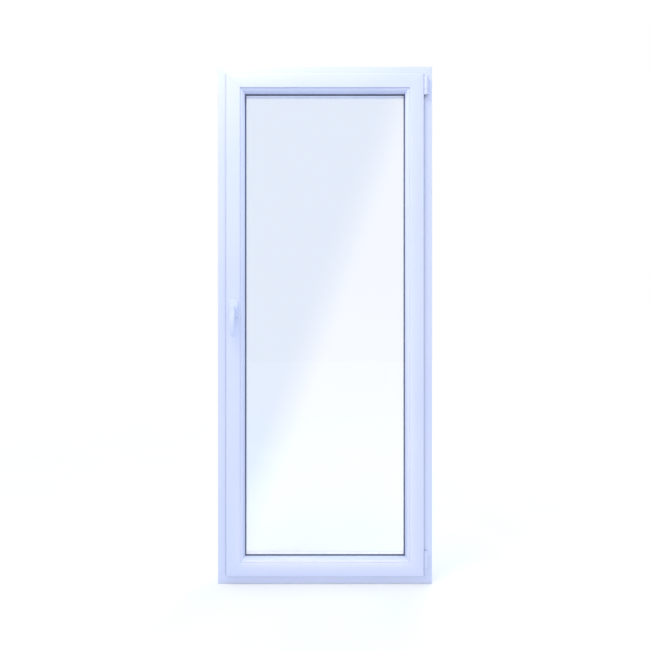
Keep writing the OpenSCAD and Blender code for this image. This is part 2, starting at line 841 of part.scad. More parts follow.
module top_faceplate() {
    color(zinc) difference() {
        to_top() rail_faceplate();
        to_top() rail_slot(rail_cam_x - travel - 1, rail_cam_x + 1, cam_slot_r);
        to_top() rail_slot(slider_x - 1, slider_x + stay_slide + 1, slider_r + 1.2);
        translate([link_p, gear_y, top_z - 5]) cylinder(r = link_pin_r + open_pivot_gap, h = 10);
        rail_screws();
    }
}

module bottom_faceplate() {
    color(zinc) difference() {
        rail_faceplate();
        rail_slot(rail_cam_x - 1, rail_cam_x + travel + 1, cam_slot_r);
        rail_screws();
    }
}

// Corner drive: an angle of two faceplate legs with the channel that leads the spring steel
// strip round the corner
module corner_drive() {
    y = [gear_y - faceplate_w / 2, gear_y + faceplate_w / 2];
    x0 = left_x(groove_u);
    z0 = groove_u;
    bend = 26;
    inner_r = (bend - groove_deep) * sqrt(2) + slide;
    side = 1.5;
    difference() {
        union() {
            block([x0, x0 + corner_leg], y, [z0, z0 + faceplate_t]);
            block([x0, x0 + faceplate_t], y, [z0, z0 + corner_leg]);
            intersection() {
                block([x0, x0 + bend], [gear_y - rod_w / 2, gear_y + rod_w / 2], [z0, z0 + bend]);
                translate([x0 + bend, gear_y, z0 + bend]) rotate([90, 0, 0]) difference() {
                    cylinder(r = bend - slide, h = rod_w, center = true);
                    cylinder(r = inner_r, h = 2 * rod_w, center = true);
                }
            }
        }
        // the strip's channel round the bend
        translate([x0 + bend, gear_y, z0 + bend]) rotate([90, 0, 0]) difference() {
            cylinder(r = bend - faceplate_t - slide, h = rod_w - 2 * side, center = true);
            cylinder(r = inner_r + side, h = rod_w, center = true);
        }
    }
}

module corner_drive_bottom() { color(zinc) corner_drive(); }
module corner_drive_top() { color(zinc) to_top() corner_drive(); }

module faceplate_screws() {
    color(zinc) {
        plate_screws_left();
        rail_screws();
    }
}

// A locking cam on its rod, pointing out of the bottom edge of the sash
module cam(x) {
    translate([x, gear_y, groove_u - cam_reach]) {
        cylinder(r = cam_head_r, h = cam_head_t);
        cylinder(r = cam_r, h = cam_reach + faceplate_t + slide);
    }
}

// The drive rod is full width along the rack, where the pinion's teeth run in its windows
module side_rod() {
    first = ceil((rack_z[0] - handle_z + window_l) / tooth_pitch);
    last = floor((rack_z[1] - handle_z - window_l) / tooth_pitch);
    color(zinc) difference() {
        union() {
            block([left_x(rod_u), left_x(rod_u + rod_t)], rod_y, rod_ends);
            plate_block(rack_z, [rod_u, rod_u + rod_t], rod_w);
        }
        for (i = [first:last]) translate([0, 0, handle_z + i * tooth_pitch])
            plate_block([-window_l / 2, window_l / 2], [rod_u - 1, rod_u + rod_t + 1], pinion_w + 0.8);
    }
}

module side_cams() {
    color(zinc) for (i = [0:side_cams_n - 1]) to_left() cam(frame_h / 2 - side_cam_z(i));
}

module top_rod() {
    color(zinc) to_top() block([rail_x[0] + travel + 4, slider_x - rod_gap], rod_y,
        [rod_u, rod_u + rod_t]);
}

module top_cam() {
    color(zinc) to_top() cam(rail_cam_x);
}

module bottom_rod() {
    color(zinc) block([rail_x[0] + 4, rail_cam_x + rod_past_cam], rod_y, [rod_u, rod_u + rod_t]);
}

module bottom_cam() {
    color(zinc) cam(rail_cam_x);
}

// The gearbox nut: a toothed wheel with round hubs and a square hole
module pinion() {
    color(zinc) translate([spindle_x, gear_y, handle_z]) rotate([90, 0, 0]) difference() {
        union() {
            cylinder(r = pinion_root, h = gearbox_w, center = true);
            for (i = [0:pinion_teeth - 1]) rotate([0, 0, 180 + 360 * i / pinion_teeth])
                linear_extrude(pinion_w, center = true) polygon([[pinion_root - 1, -tooth_root_w / 2],
                    [pinion_tip, -tooth_tip_w / 2], [pinion_tip, tooth_tip_w / 2],
                    [pinion_root - 1, tooth_root_w / 2]]);
        }
        cube([spindle_a + 0.1, spindle_a + 0.1, 2 * gearbox_w], center = true);
    }
}

// Sash side of the bottom hinge ------------------------------------------------------------

band_leaf_z = [band_z[0] + 2, band_z[1] - 4];

// The flat tongue that reaches from the rebate, between lap and frame, to the hinge axis
module tongue(z, x0) {
    block([x0, hinge_x - cover_r + clear], tongue_y, z);
}

module band_screw_set() {
    for (i = [0:2]) translate([frame_w / 2 - leaf_u, gear_y, band_leaf_z[0] + 10 + i * (band_h - 26) / 2])
        rotate([0, 90, 0]) screw(2, 3.4, 34);
}

module hinge_band() {
    leaf_x = frame_w / 2 - groove_u + 0.05;
    color(zinc) difference() {
        union() {
            translate([hinge_x, hinge_y, band_z[0]]) cylinder(r = barrel_r, h = band_h - cover_t - 1);
            translate([hinge_x, hinge_y, seat_z + 1.3]) cylinder(r = socket_r, h = band_h / 2);
            block([hinge_x - cover_r + clear, hinge_x], [slot_front, tongue_y[1]], band_leaf_z);
            tongue(band_leaf_z, leaf_x);
            block([leaf_x, frame_w / 2 - leaf_u], [tongue_y[0], gear_y + faceplate_w / 2], band_leaf_z);
        }
        translate([hinge_x, hinge_y, seat_z - 1])
            cylinder(r = ball_r + run, h = pivot_z + ball_r + 0.1 - seat_z + 1);
        band_screw_set();
    }
}

// A round cap over the band's barrel, slotted behind for the tongue
module hinge_band_cover() {
    color(white) difference() {
        translate([hinge_x, hinge_y, band_z[0]]) cylinder(r = cover_r, h = band_h);
        translate([hinge_x, hinge_y, band_z[0] - 1])
            cylinder(r = cover_r - cover_t, h = band_h - cover_t + 1);
        block([hinge_x - 2 * cover_r, hinge_x + clear], [slot_front - clear, y_room],
            [band_z[0] - 1, band_leaf_z[1] + clear]);
    }
}

module hinge_band_screws() {
    color(zinc) band_screw_set();
}

// Handle -----------------------------------------------------------------------------------

// A round-cornered plate across Y, centred on the spindle
module rounded_plate(w, h, y0, y1, r) {
    for (x = [-1, 1], z = [-1, 1])
        bar_y(spindle_x + x * (w / 2 - r), handle_z + z * (h / 2 - r), y0, y1, r);
    block([spindle_x - w / 2, spindle_x + w / 2], [y0, y1], [handle_z - h / 2 + r, handle_z + h / 2 - r]);
    block([spindle_x - w / 2 + r, spindle_x + w / 2 - r], [y0, y1], [handle_z - h / 2, handle_z + h / 2]);
}

module handle_screw_set() {
    for (e = [-1, 1]) translate([spindle_x, base_front, handle_z + e * handle_pitch / 2])
        rotate([90, 0, 0]) screw(handle_screw[0], handle_screw[1], handle_screw[2]);
}

module handle_base() {
    color(zinc) difference() {
        union() {
            rounded_plate(rosette_w - 5, rosette_h - 5, sash_front, base_front, 4);
            for (e = [-1, 1])
                bar_y(spindle_x, handle_z + e * handle_pitch / 2, sash_front, lap_back, 4.8);
        }
        bar_y(spindle_x, handle_z, rosette_front - 1, sash_front + 1, neck_r + 0.3);
        handle_screw_set();
    }
}

module handle_rosette() {
    color(white) difference() {
        rounded_plate(rosette_w, rosette_h, rosette_front, sash_front, 5);
        rounded_plate(rosette_w - 4, rosette_h - 4, rosette_front + 2, sash_front + 1, 4.5);
        bar_y(spindle_x, handle_z, rosette_front - 1, sash_front, neck_r + 0.3);
    }
}

module handle_screws() {
    color(zinc) handle_screw_set();
}

// A pad of the grip: a slice across the lever, w wide and t thick, at a height below the spindle
module grip_slice(drop, w, t, y) {
    for (e = [-1, 1]) translate([spindle_x + e * (w - t) / 2, y, handle_z - drop])
        sphere(r = t / 2, $fn = 28);
}

module handle_lever() {
    color(white) difference() {
        union() {
            bar_y(spindle_x, handle_z, grip_y + 1, sash_front - 0.5, neck_r);
            hull() {
                grip_slice(0, grip_w, grip_t, grip_y);
                grip_slice(lever_l * 0.4, grip_w - 2.5, grip_t - 1, grip_y - 0.8);
            }
            hull() {
                grip_slice(lever_l * 0.4, grip_w - 2.5, grip_t - 1, grip_y - 0.8);
                grip_slice(lever_l - grip_t / 2, grip_w - 5, grip_t - 2, grip_y + 1);
            }
        }
        square_bar(sash_front);
    }
}

// The square of the spindle, from inside the grip out to y
module square_bar(y) {
    block([spindle_x - spindle_a / 2, spindle_x + spindle_a / 2], [spindle_in, y],
        [handle_z - spindle_a / 2, handle_z + spindle_a / 2]);
}

module handle_spindle() {
    color(zinc) square_bar(gearbox_back);
}

// Stay -------------------------------------------------------------------------------------

module stay_arm() {
    x_in = frame_w / 2 - groove_u + 2.2;    // keeps clear of the stile as the arm swings out
    color(zinc) difference() {
        union() {
            block([slider_x, hinge_x - 24], [gear_y - arm_w / 2, gear_y + arm_w / 2],
                [arm_z, arm_z + stay_t]);
            translate([slider_x, gear_y, arm_z]) cylinder(r = arm_w / 2, h = stay_t);
            translate([slider_x, gear_y, top_z - stay_pin_down])
                cylinder(r = slider_r, h = arm_z - top_z + stay_pin_down + eps);
            translate([link_b, gear_y, link_z + 0.1]) cylinder(r = link_pin_r, h = arm_z - link_z);
            block([x_in, frame_w / 2 - frame_body - 1.5], [tongue_y[0], gear_y],
                [arm_z, arm_z + stay_t]);
            block([x_in, hinge_x - cover_r - 2], tongue_y, [knuckle_z[0] + 1, arm_z + stay_t]);
            tongue([knuckle_z[0] + 1, knuckle_z[1] - 1], x_in);
            block([hinge_x - cover_r + clear, hinge_x], [slot_front, tongue_y[1]],
                [knuckle_z[0] + 1, knuckle_z[1] - 1]);
            translate([hinge_x, hinge_y, knuckle_z[0]]) cylinder(r = barrel_r, h = knuckle_h);
        }
        translate([hinge_x, hinge_y, knuckle_z[0] - 1])
            cylinder(r = hinge_pin_r + run, h = knuckle_h + 2);
    }
}

// A sleeve over the knuckle, slotted behind for the arm
module stay_knuckle_cover() {
    color(white) difference() {
        translate([hinge_x, hinge_y, knuckle_z[0]]) cylinder(r = cover_r, h = knuckle_h);
        translate([hinge_x, hinge_y, knuckle_z[0] - 1])
            cylinder(r = cover_r - cover_t, h = knuckle_h + 2);
        block([hinge_x - 2 * cover_r, hinge_x + clear], [slot_front - clear, y_room],
            [knuckle_z[0] - 1, knuckle_z[1] + 1]);
    }
}

module stay_link() {
    r = 5;
    color(zinc) difference() {
        union() {
            block([link_b, link_p], [gear_y - r, gear_y + r], [link_z, link_z + link_t]);
            for (x = [link_b, link_p]) translate([x, gear_y, link_z]) cylinder(r = r, h = link_t);
            translate([link_p, gear_y, top_z - stay_pin_down])
                cylinder(r = link_pin_r, h = stay_pin_down + link_t);
        }
        translate([link_b, gear_y, link_z - 1]) cylinder(r = link_pin_r + run, h = link_t + 2);
    }
}

// Nodes -----------------------------------------------------------------------------------

frame_sill();
frame_head();
frame_jamb_left();
frame_jamb_right();
frame_steel();
frame_gasket();
drain_caps();
side_keeps();
head_keep();
sill_keep();
keep_screws();
corner_bearing();
corner_bearing_cover();
stay_bearing();
stay_bearing_pin();
stay_bearing_cover();
bearing_screws();
pivot_ball();
sash_rail_bottom();
sash_rail_top();
sash_stile_left();
sash_stile_right();
sash_steel();
sash_gasket();
bead_bottom();
bead_top();
bead_left();
bead_right();
bead_gasket();
outer_gasket();
glass_room();
glass_outside();
glass_spacer();
edge_seal();
glazing_packers();
gearbox_housing();
side_faceplate();
top_faceplate();
bottom_faceplate();
corner_drive_top();
corner_drive_bottom();
faceplate_screws();
hinge_band();
hinge_band_cover();
hinge_band_screws();
handle_base();
handle_rosette();
handle_screws();
side_rod();
side_cams();
top_rod();
top_cam();
bottom_rod();
bottom_cam();
handle_lever();
handle_spindle();
pinion();
stay_arm();
stay_knuckle_cover();
stay_link();
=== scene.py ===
"""A tall tilt-and-turn casement window in white plastic profiles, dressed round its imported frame.

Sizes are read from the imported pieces, so that each new piece lies where its solid lies. u is the
distance in from the outer edge of the window's frame, the way a profile's height is measured.
"""

import json
import math

import bpy
from mathutils import Matrix, Vector


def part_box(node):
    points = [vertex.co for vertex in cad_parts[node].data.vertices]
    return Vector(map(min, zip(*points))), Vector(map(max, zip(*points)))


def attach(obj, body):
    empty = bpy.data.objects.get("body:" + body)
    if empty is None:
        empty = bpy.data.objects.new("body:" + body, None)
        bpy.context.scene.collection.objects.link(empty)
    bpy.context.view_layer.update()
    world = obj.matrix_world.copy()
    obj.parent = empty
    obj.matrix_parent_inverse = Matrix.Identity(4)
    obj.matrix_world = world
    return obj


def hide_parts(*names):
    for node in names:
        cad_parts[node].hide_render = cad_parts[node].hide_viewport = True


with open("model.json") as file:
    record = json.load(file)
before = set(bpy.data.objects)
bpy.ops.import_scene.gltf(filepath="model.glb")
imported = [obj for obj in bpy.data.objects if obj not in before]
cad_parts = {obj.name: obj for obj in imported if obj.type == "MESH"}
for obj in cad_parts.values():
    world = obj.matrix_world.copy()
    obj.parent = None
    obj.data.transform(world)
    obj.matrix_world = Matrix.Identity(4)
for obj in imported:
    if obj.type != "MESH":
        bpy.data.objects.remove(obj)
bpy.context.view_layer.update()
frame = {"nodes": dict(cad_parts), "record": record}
MM = 0.001


def low(node):
    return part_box(node)[0]


def high(node):
    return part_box(node)[1]


# Sizes of the window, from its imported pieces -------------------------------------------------

WIDE = high("frame_head").x - low("frame_head").x
TALL = high("frame_head").z
Y_ROOM, Y_OUT = low("frame_sill").y, high("frame_sill").y
LIP_U = high("frame_sill").z
BODY_U = low("sill_keep").z
SASH_U = low("sash_rail_bottom").z
SASH_FRONT, SASH_REAR = low("sash_rail_bottom").y, high("sash_rail_bottom").y
LAP_BACK = low("sash_gasket").y
SEAL_GAP = Y_ROOM - LAP_BACK
LIP_IN = SASH_REAR + SEAL_GAP
GROOVE_U = low("bottom_faceplate").z
PLATE_U = high("bottom_faceplate").z
GEAR_Y = (low("bottom_faceplate").y + high("bottom_faceplate").y) / 2
PLATE_W = high("bottom_faceplate").y - low("bottom_faceplate").y
REBATE_U = low("glazing_packers").z
BEAD_U = high("bead_bottom").z
BEAD_FRONT, BEAD_BACK = low("bead_bottom").y, high("bead_bottom").y
GLAZE_OUT = high("outer_gasket").y
PANE_ROOM, PANE_OUT = low("glass_room").y, high("glass_outside").y
FACE_U = REBATE_U + 2 * MM
GLAZE_LIP_U = BEAD_U + 0.5 * MM


# Modelling by hand ---------------------------------------------------------------------------


def start():
    """Leaves edit mode with nothing selected."""
    if bpy.context.object and bpy.context.object.mode != "OBJECT":
        bpy.ops.object.mode_set(mode="OBJECT")
    bpy.ops.object.select_all(action="DESELECT")


def finished(obj, name):
    """Names a piece and puts its place in its mesh."""
    start()
    bpy.context.view_layer.objects.active = obj
    obj.select_set(True)
    bpy.ops.object.transform_apply(location=True, rotation=True, scale=True)
    obj.name = obj.data.name = name
    return obj


def block(name, corner, far):
    """A box between two corners, from which a piece is shaped."""
    start()
    a, b = Vector(corner), Vector(far)
    bpy.ops.mesh.primitive_cube_add(size=1, location=(a + b) / 2, scale=b - a)
    return finished(bpy.context.object, name)


def pick(obj, faces=None, edges=None):
    """Selects the faces, or the edges, that pass a test on their middle and direction."""
    bpy.context.view_layer.objects.active = obj
    bpy.ops.object.mode_set(mode="OBJECT")
    mesh = obj.data
    for group in (mesh.vertices, mesh.edges, mesh.polygons):
        group.foreach_set("select", [False] * len(group))
    bpy.context.tool_settings.mesh_select_mode = (False, faces is None, faces is not None)
    if faces:
        for f in mesh.polygons:
            f.select = faces(f.center, f.normal)
    else:
        for e in mesh.edges:
            a, b = (mesh.vertices[i].co for i in e.vertices)
            e.select = edges((a + b) / 2, (b - a).normalized())
    bpy.ops.object.mode_set(mode="EDIT")


def cut(obj, point, normal, remove=False):
    """Cuts every face by a plane, and may take away and cap what the normal points at."""
    bpy.context.view_layer.objects.active = obj
    bpy.ops.object.mode_set(mode="EDIT")
    bpy.ops.mesh.select_all(action="SELECT")
    bpy.ops.mesh.bisect(plane_co=point, plane_no=Vector(normal).normalized(),
                        use_fill=remove, clear_outer=remove)


def pull(obj, faces, move):
    """Extrudes the faces that pass the test."""
    pick(obj, faces=faces)
    bpy.ops.mesh.extrude_region_move(TRANSFORM_OT_translate={"value": move})


def bevel(obj, edges, size, segments=4, profile=0.5):
    pick(obj, edges=edges)
    bpy.ops.mesh.bevel(offset=size, segments=segments, profile=profile, affect="EDGES")


def flatten(obj):
    """Joins flat faces that lie in one plane."""
    bpy.ops.object.mode_set(mode="EDIT")
    bpy.ops.mesh.select_all(action="SELECT")
    bpy.ops.mesh.remove_doubles(threshold=0.01 * MM)
    bpy.ops.mesh.dissolve_limited(angle_limit=math.radians(0.5))


def smooth(obj, angle=32):
    start()
    bpy.context.view_layer.objects.active = obj
    obj.select_set(True)
    bpy.ops.object.shade_smooth_by_angle(angle=math.radians(angle))


def modify(obj, kind, **settings):
    """Adds a modifier with these settings and applies it."""
    start()
    bpy.context.view_layer.objects.active = obj
    obj.select_set(True)
    mod = obj.modifiers.new(kind.lower(), kind)
    for key, value in settings.items():
        setattr(mod, key, value)
    bpy.ops.object.modifier_apply(modifier=mod.name)


def near(a, b, gap=0.02 * MM):
    return abs(a - b) < gap


# Finishes ------------------------------------------------------------------------------------


class Wire:
    """A shader socket. Sums on it add Math nodes."""

    def __init__(self, finish, socket):
        self.finish, self.socket = finish, socket

    def math(self, operation, *others):
        sockets = dict(enumerate([self, *others]))
        return self.finish.node("ShaderNodeMath", {"operation": operation}, sockets)[0]

    def __add__(self, other):
        return self.math("ADD", other)

    def __mul__(self, other):
        return self.math("MULTIPLY", other)

    def __sub__(self, other):
        return self.math("SUBTRACT", other)


class Finish:
    """One material in the making, or the world."""

    def __init__(self, name, world=None):
        self.material = world or bpy.data.materials.new(name)
        self.material.use_nodes = True
        self.tree = self.material.node_tree
        self.tree.nodes.clear()
        self.place = None if world else self.node("ShaderNodeTexCoord")["Object"]

    def node(self, kind, settings=None, sockets=None):
        """Adds a node. Its settings are set first, then its sockets' values and links."""
        made = self.tree.nodes.new(kind)
        for key, value in (settings or {}).items():
            setattr(made, key, value)
        for key, value in (sockets or {}).items():
            if isinstance(value, Wire):
                self.tree.links.new(value.socket, made.inputs[key])
            else:
                made.inputs[key].default_value = value
        return {k: Wire(self, s) for i, s in enumerate(made.outputs) for k in (i, s.name)}

    def stretched(self, scale):
        """Object coordinates squeezed by a scale along each axis."""
        return self.node("ShaderNodeMapping", {}, {"Vector": self.place, "Scale": scale})["Vector"]

    def noise(self, scale, detail=3.0, rough=0.5, vector=None):
        sockets = {"Vector": vector or self.place, "Scale": scale, "Detail": detail, "Roughness": rough}
        return self.node("ShaderNodeTexNoise", {}, sockets)[0]

    def span(self, value, to_low, to_high, from_low=0.3, from_high=0.7):
        """Takes a noise value to a range."""
        sockets = {"Value": value, "From Min": from_low, "From Max": from_high,
                   "To Min": to_low, "To Max": to_high}
        return self.node("ShaderNodeMapRange", {}, sockets)[0]

    def blend(self, factor, one, two):
        """A colour between two colours."""
        full = [c if isinstance(c, Wire) else (*c, 1.0) for c in (one, two)]
        made = self.node("ShaderNodeMix", {"data_type": "RGBA"}, {0: factor, 6: full[0], 7: full[1]})
        return made[2]

    def bump(self, height, strength, distance):
        sockets = {"Height": height, "Strength": strength, "Distance": distance}
        return self.node("ShaderNodeBump", {}, sockets)["Normal"]

    def surface(self, **sockets):
        """Closes the material with a Principled shader."""
        named = {k.replace("_", " "): v for k, v in sockets.items()}
        shader = self.node("ShaderNodeBsdfPrincipled", {}, named)["BSDF"]
        self.output(shader)
        return self.material

    def output(self, shader):
        self.node("ShaderNodeOutputMaterial", {}, {"Surface": shader})


WHITE_LIT, WHITE_DEEP = (0.765, 0.803, 0.925), (0.722, 0.770, 0.915)


def extruded_white(name, squeeze):
    """White profile: faint cloudy tone, and fine drawing lines along its length."""
    f = Finish(name)
    clouds = f.noise(2.2, 2.0)
    lines = f.noise(1.0, 4.0, 0.6, f.stretched(squeeze))
    tone = f.blend(f.span(clouds, 0.0, 1.0), WHITE_DEEP, WHITE_LIT)
    gloss = f.span(lines, 0.27, 0.35)
    normal = f.bump(lines + f.noise(900.0, 2.0) * 0.25, 0.05, 0.06 * MM)
    return f.surface(Base_Color=tone, Roughness=gloss, Normal=normal, IOR=1.5, Specular_IOR_Level=0.5)


def moulded_white():
    """Injection-moulded cap: satin, with a fine spark-eroded texture."""
    f = Finish("moulded_white")
    grain = f.noise(2600.0, 2.0)
    tone = f.blend(f.span(f.noise(14.0), 0.0, 1.0), (0.655, 0.705, 0.850), (0.690, 0.735, 0.865))
    return f.surface(Base_Color=tone, Roughness=f.span(grain, 0.42, 0.54),
                     Normal=f.bump(grain, 0.08, 0.04 * MM), IOR=1.5)


def powder_coat():
    """White powder coat on the handle: smooth orange peel."""
    f = Finish("white_powder_coat")
    peel = f.noise(420.0, 1.0)
    tone = f.blend(f.span(f.noise(30.0), 0.0, 1.0), (0.725, 0.780, 0.915), (0.755, 0.810, 0.925))
    return f.surface(Base_Color=tone, Roughness=f.span(peel, 0.24, 0.32),
                     Normal=f.bump(peel, 0.03, 0.05 * MM), IOR=1.5)


def seal_rubber():
    """Black seal: matt and finely grained, with a pale bloom in patches."""
    f = Finish("black_seal_rubber")
    bloom = f.noise(160.0, 3.0, 0.5)
    tone = f.blend(f.span(bloom, 0.0, 1.0), (0.050, 0.062, 0.100), (0.064, 0.078, 0.124))
    return f.surface(Base_Color=tone, Roughness=f.span(bloom, 0.55, 0.65),
                     Normal=f.bump(f.noise(1500.0, 2.0), 0.25, 0.05 * MM))


def plated_steel():
    """Zinc-plated steel: bright, faintly blue in clouds, with rolling marks."""
    f = Finish("plated_steel")
    clouds = f.noise(45.0, 3.0)
    marks = f.noise(1.0, 3.0, 0.6, f.stretched((260.0, 1500.0, 260.0)))
    tone = f.blend(f.span(clouds, 0.0, 1.0), (0.62, 0.64, 0.68), (0.70, 0.71, 0.72))
    return f.surface(Base_Color=tone, Metallic=1.0, Roughness=f.span(marks, 0.24, 0.38),
                     Normal=f.bump(marks, 0.08, 0.05 * MM))


def galvanised():
    """Hot-dip zinc: spangles of crystal."""
    f = Finish("galvanised_steel")
    spangle = f.node("ShaderNodeTexVoronoi", {}, {"Vector": f.place, "Scale": 130.0})["Color"]
    grey = f.node("ShaderNodeSeparateColor", {}, {"Color": spangle})[0]
    return f.surface(Base_Color=f.blend(grey, (0.42, 0.44, 0.46), (0.66, 0.68, 0.70)),
                     Metallic=1.0, Roughness=f.span(grey, 0.34, 0.56, 0.0, 1.0))


def zinc_casting():
    """Die-cast zinc of the gearbox: dull and slightly grainy."""
    f = Finish("zinc_casting")
    grain = f.noise(420.0, 4.0)
    tone = f.blend(f.span(grain, 0.0, 1.0), (0.36, 0.37, 0.39), (0.50, 0.51, 0.53))
    return f.surface(Base_Color=tone, Metallic=0.9, Roughness=f.span(grain, 0.38, 0.55),
                     Normal=f.bump(grain, 0.3, 0.1 * MM))


def spacer_metal():
    """Bright aluminium spacer bar with fine breathing holes, drawn as dimples whose darker colour is painted
    shade in the holes.
    """
    f = Finish("spacer_aluminium")
    dots = f.node("ShaderNodeTexVoronoi", {}, {"Vector": f.place, "Scale": 420.0})["Distance"]
    hole = f.span(dots, 1.0, 0.0, 0.12, 0.2)
    # Near each hole's middle the colour turns darker: painted shade in the hole
    tone = f.blend(hole, (0.95, 0.96, 0.98), (0.60, 0.62, 0.65))
    return f.surface(Base_Color=tone, Metallic=0.55, Roughness=f.span(f.noise(300.0), 0.34, 0.46),
                     Normal=f.bump(hole, 0.3, -0.1 * MM))


def sealant():
    """Dark sealant round the glass unit, smeared on."""
    f = Finish("edge_sealant")
    smear = f.noise(90.0, 5.0, 0.6)
    tone = f.blend(f.span(smear, 0.0, 1.0), (0.030, 0.031, 0.035), (0.055, 0.056, 0.062))
    return f.surface(Base_Color=tone, Roughness=f.span(smear, 0.5, 0.75),
                     Normal=f.bump(smear, 0.4, 0.3 * MM))


def packer_plastic():
    """Blue plastic of the glazing packers."""
    f = Finish("packer_plastic")
    grain = f.noise(700.0, 2.0)
    tone = f.blend(f.span(grain, 0.0, 1.0), (0.07, 0.16, 0.36), (0.10, 0.21, 0.44))
    return f.surface(Base_Color=tone, Roughness=f.span(grain, 0.45, 0.6),
                     Normal=f.bump(grain, 0.2, 0.05 * MM))


def float_glass():
    """Clear float glass with a cool tint. Lamps and ambient light pass straight through it."""
    f = Finish("clear_float_glass")
    wave = f.noise(1.6, 1.0)
    glass = f.node("ShaderNodeBsdfPrincipled", {}, {
        "Base Color": (0.875, 0.914, 0.980, 1.0), "Roughness": 0.0, "IOR": 1.5,
        "Transmission Weight": 1.0, "Normal": f.bump(wave, 0.02, 0.4 * MM)})["BSDF"]
    clear = f.node("ShaderNodeBsdfTransparent", {}, {"Color": (0.90, 0.93, 0.985, 1.0)})[0]
    path = f.node("ShaderNodeLightPath")
    passes = path["Is Shadow Ray"].math("MAXIMUM", path["Is Diffuse Ray"])
    f.output(f.node("ShaderNodeMixShader", {}, {0: passes, 1: glass, 2: clear})[0])
    return f.material


# How fast the drawing lines change along a bar and across it
LONG, ACROSS = 9.0, 900.0
# A finish for each material slot. White bars have one for each way that they run
FINISH = {
    "white_x": extruded_white("extruded_white_level", (LONG, ACROSS, ACROSS)),
    "white_z": extruded_white("extruded_white_upright", (ACROSS, ACROSS, LONG)),
    "hinge_cover": moulded_white(),
    "handle_coat": powder_coat(),
    "black_seal": seal_rubber(),
    "clear_glass": float_glass(),
    "spacer_bar": spacer_metal(),
    "edge_sealant": sealant(),
    "packer": packer_plastic(),
    "gear_casting": zinc_casting(),
    "galvanised_steel": galvanised(),
    "plated_steel": plated_steel(),
}


def dress(obj, finish, body, node):
    """Gives a piece its finish, body and slot, and hides the CAD node that it stands for."""
    obj.data.materials.clear()
    obj.data.materials.append(FINISH[finish])
    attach(obj, body)
    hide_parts(node)


# Profiles: each is made as the bottom bar, mitred, and turned to its side --------------------

# Each side's turn in degrees, and where the middle of its outer edge lies
SIDES = {"bottom": (0, 0, 0), "top": (180, 0, TALL),
         "left": (90, -WIDE / 2, TALL / 2), "right": (-90, WIDE / 2, TALL / 2)}
# Edge radii of the lips, the frame and the sash
LIP_ROUND, LIP_EDGE = 6 * MM, 1.0 * MM
FRAME_ROUND = 2.5 * MM
SASH_ROUND, FACE_ROUND, LAP_EDGE, REAR_EDGE = 4 * MM, 1.8 * MM, 0.8 * MM, 1.5 * MM
# Breaks at the mitres, which show as a fine groove
WELD, BEAD_JOINT, SEAL_JOINT = 0.45 * MM, 0.2 * MM, 0.1 * MM
# The rim of the sash that hides the bead's foot, and the groove for the gear and its rod
FACE_RIM = 4 * MM
GROOVE_EASE = 0.2 * MM
ROD_HALF, ROD_DEEP = 6 * MM, 9.6 * MM
# The bead's gaps to the sash, how far its foot is clipped in, and its slope
BEAD_GAP, CLIP_IN = 0.05 * MM, 4 * MM
SLOPE_FOOT, SLOPE_SHAPE = 0.3 * MM, 0.36
# Drain slots: their size, their place in the rebate and under the hoods, and their round ends
DRAIN_L, DRAIN_W, DRAIN_DEEP = 28 * MM, 5 * MM, 12 * MM
DRAIN_BACK, HOOD_SIDE = 3 * MM, 6 * MM
SLOT_ROUND = 0.46
HOLE_EASE = 0.1 * MM
# How far a cutter or a hidden end reaches past a face
OVER, PAST = 1 * MM, 10 * MM


def to_side(obj, side, name):
    """Turns a bar made along the bottom to its side of the window."""
    angle, x, z = SIDES[side]
    obj.rotation_euler = (0, math.radians(angle), 0)
    obj.location = (x, 0, z)
    return finished(obj, name)


def level(side):
    return side in ("bottom", "top")


def span_of(side):
    return WIDE if level(side) else TALL


def lengthwise(test):
    """An edge test for edges that run along the bar and pass a test on y and u."""
    return lambda mid, way: abs(way.x) > 0.9 and test(mid.y, mid.z)


def at(y, u):
    return lengthwise(lambda ey, eu: near(ey, y) and near(eu, u))


def mitred(obj, span, weld=WELD):
    """Cuts both ends to 45 degrees and breaks their edges, so that a corner shows a fine groove."""
    for end in (-1, 1):
        cut(obj, (end * span / 2, 0, 0), (end, 0, 1), remove=True)
    pick(obj, faces=lambda mid, way: abs(way.x) > 0.6 and way.z > 0.6)
    bpy.ops.mesh.region_to_loop()
    bpy.ops.mesh.bevel(offset=weld, segments=1, affect="EDGES")


def frame_profile(side):
    """Outer frame: a body with a lip on the outside that the sash shuts against."""
    span = span_of(side)
    obj = block("frame_profile", (-span / 2, Y_ROOM, 0), (span / 2, Y_OUT, BODY_U))
    cut(obj, (0, LIP_IN, 0), (0, 1, 0))
    pull(obj, lambda mid, way: way.z > 0.9 and mid.y > LIP_IN, (0, 0, LIP_U - BODY_U))
    flatten(obj)
    bevel(obj, at(Y_OUT, LIP_U), LIP_ROUND, 5)
    bevel(obj, at(LIP_IN, LIP_U), LIP_EDGE, 3)
    bevel(obj, lengthwise(lambda y, u: near(y, Y_ROOM)), FRAME_ROUND, 5)
    bevel(obj, at(Y_OUT, 0), FRAME_ROUND, 4)
    mitred(obj, span)
    return to_side(obj, side, f"frame_profile_{side}")


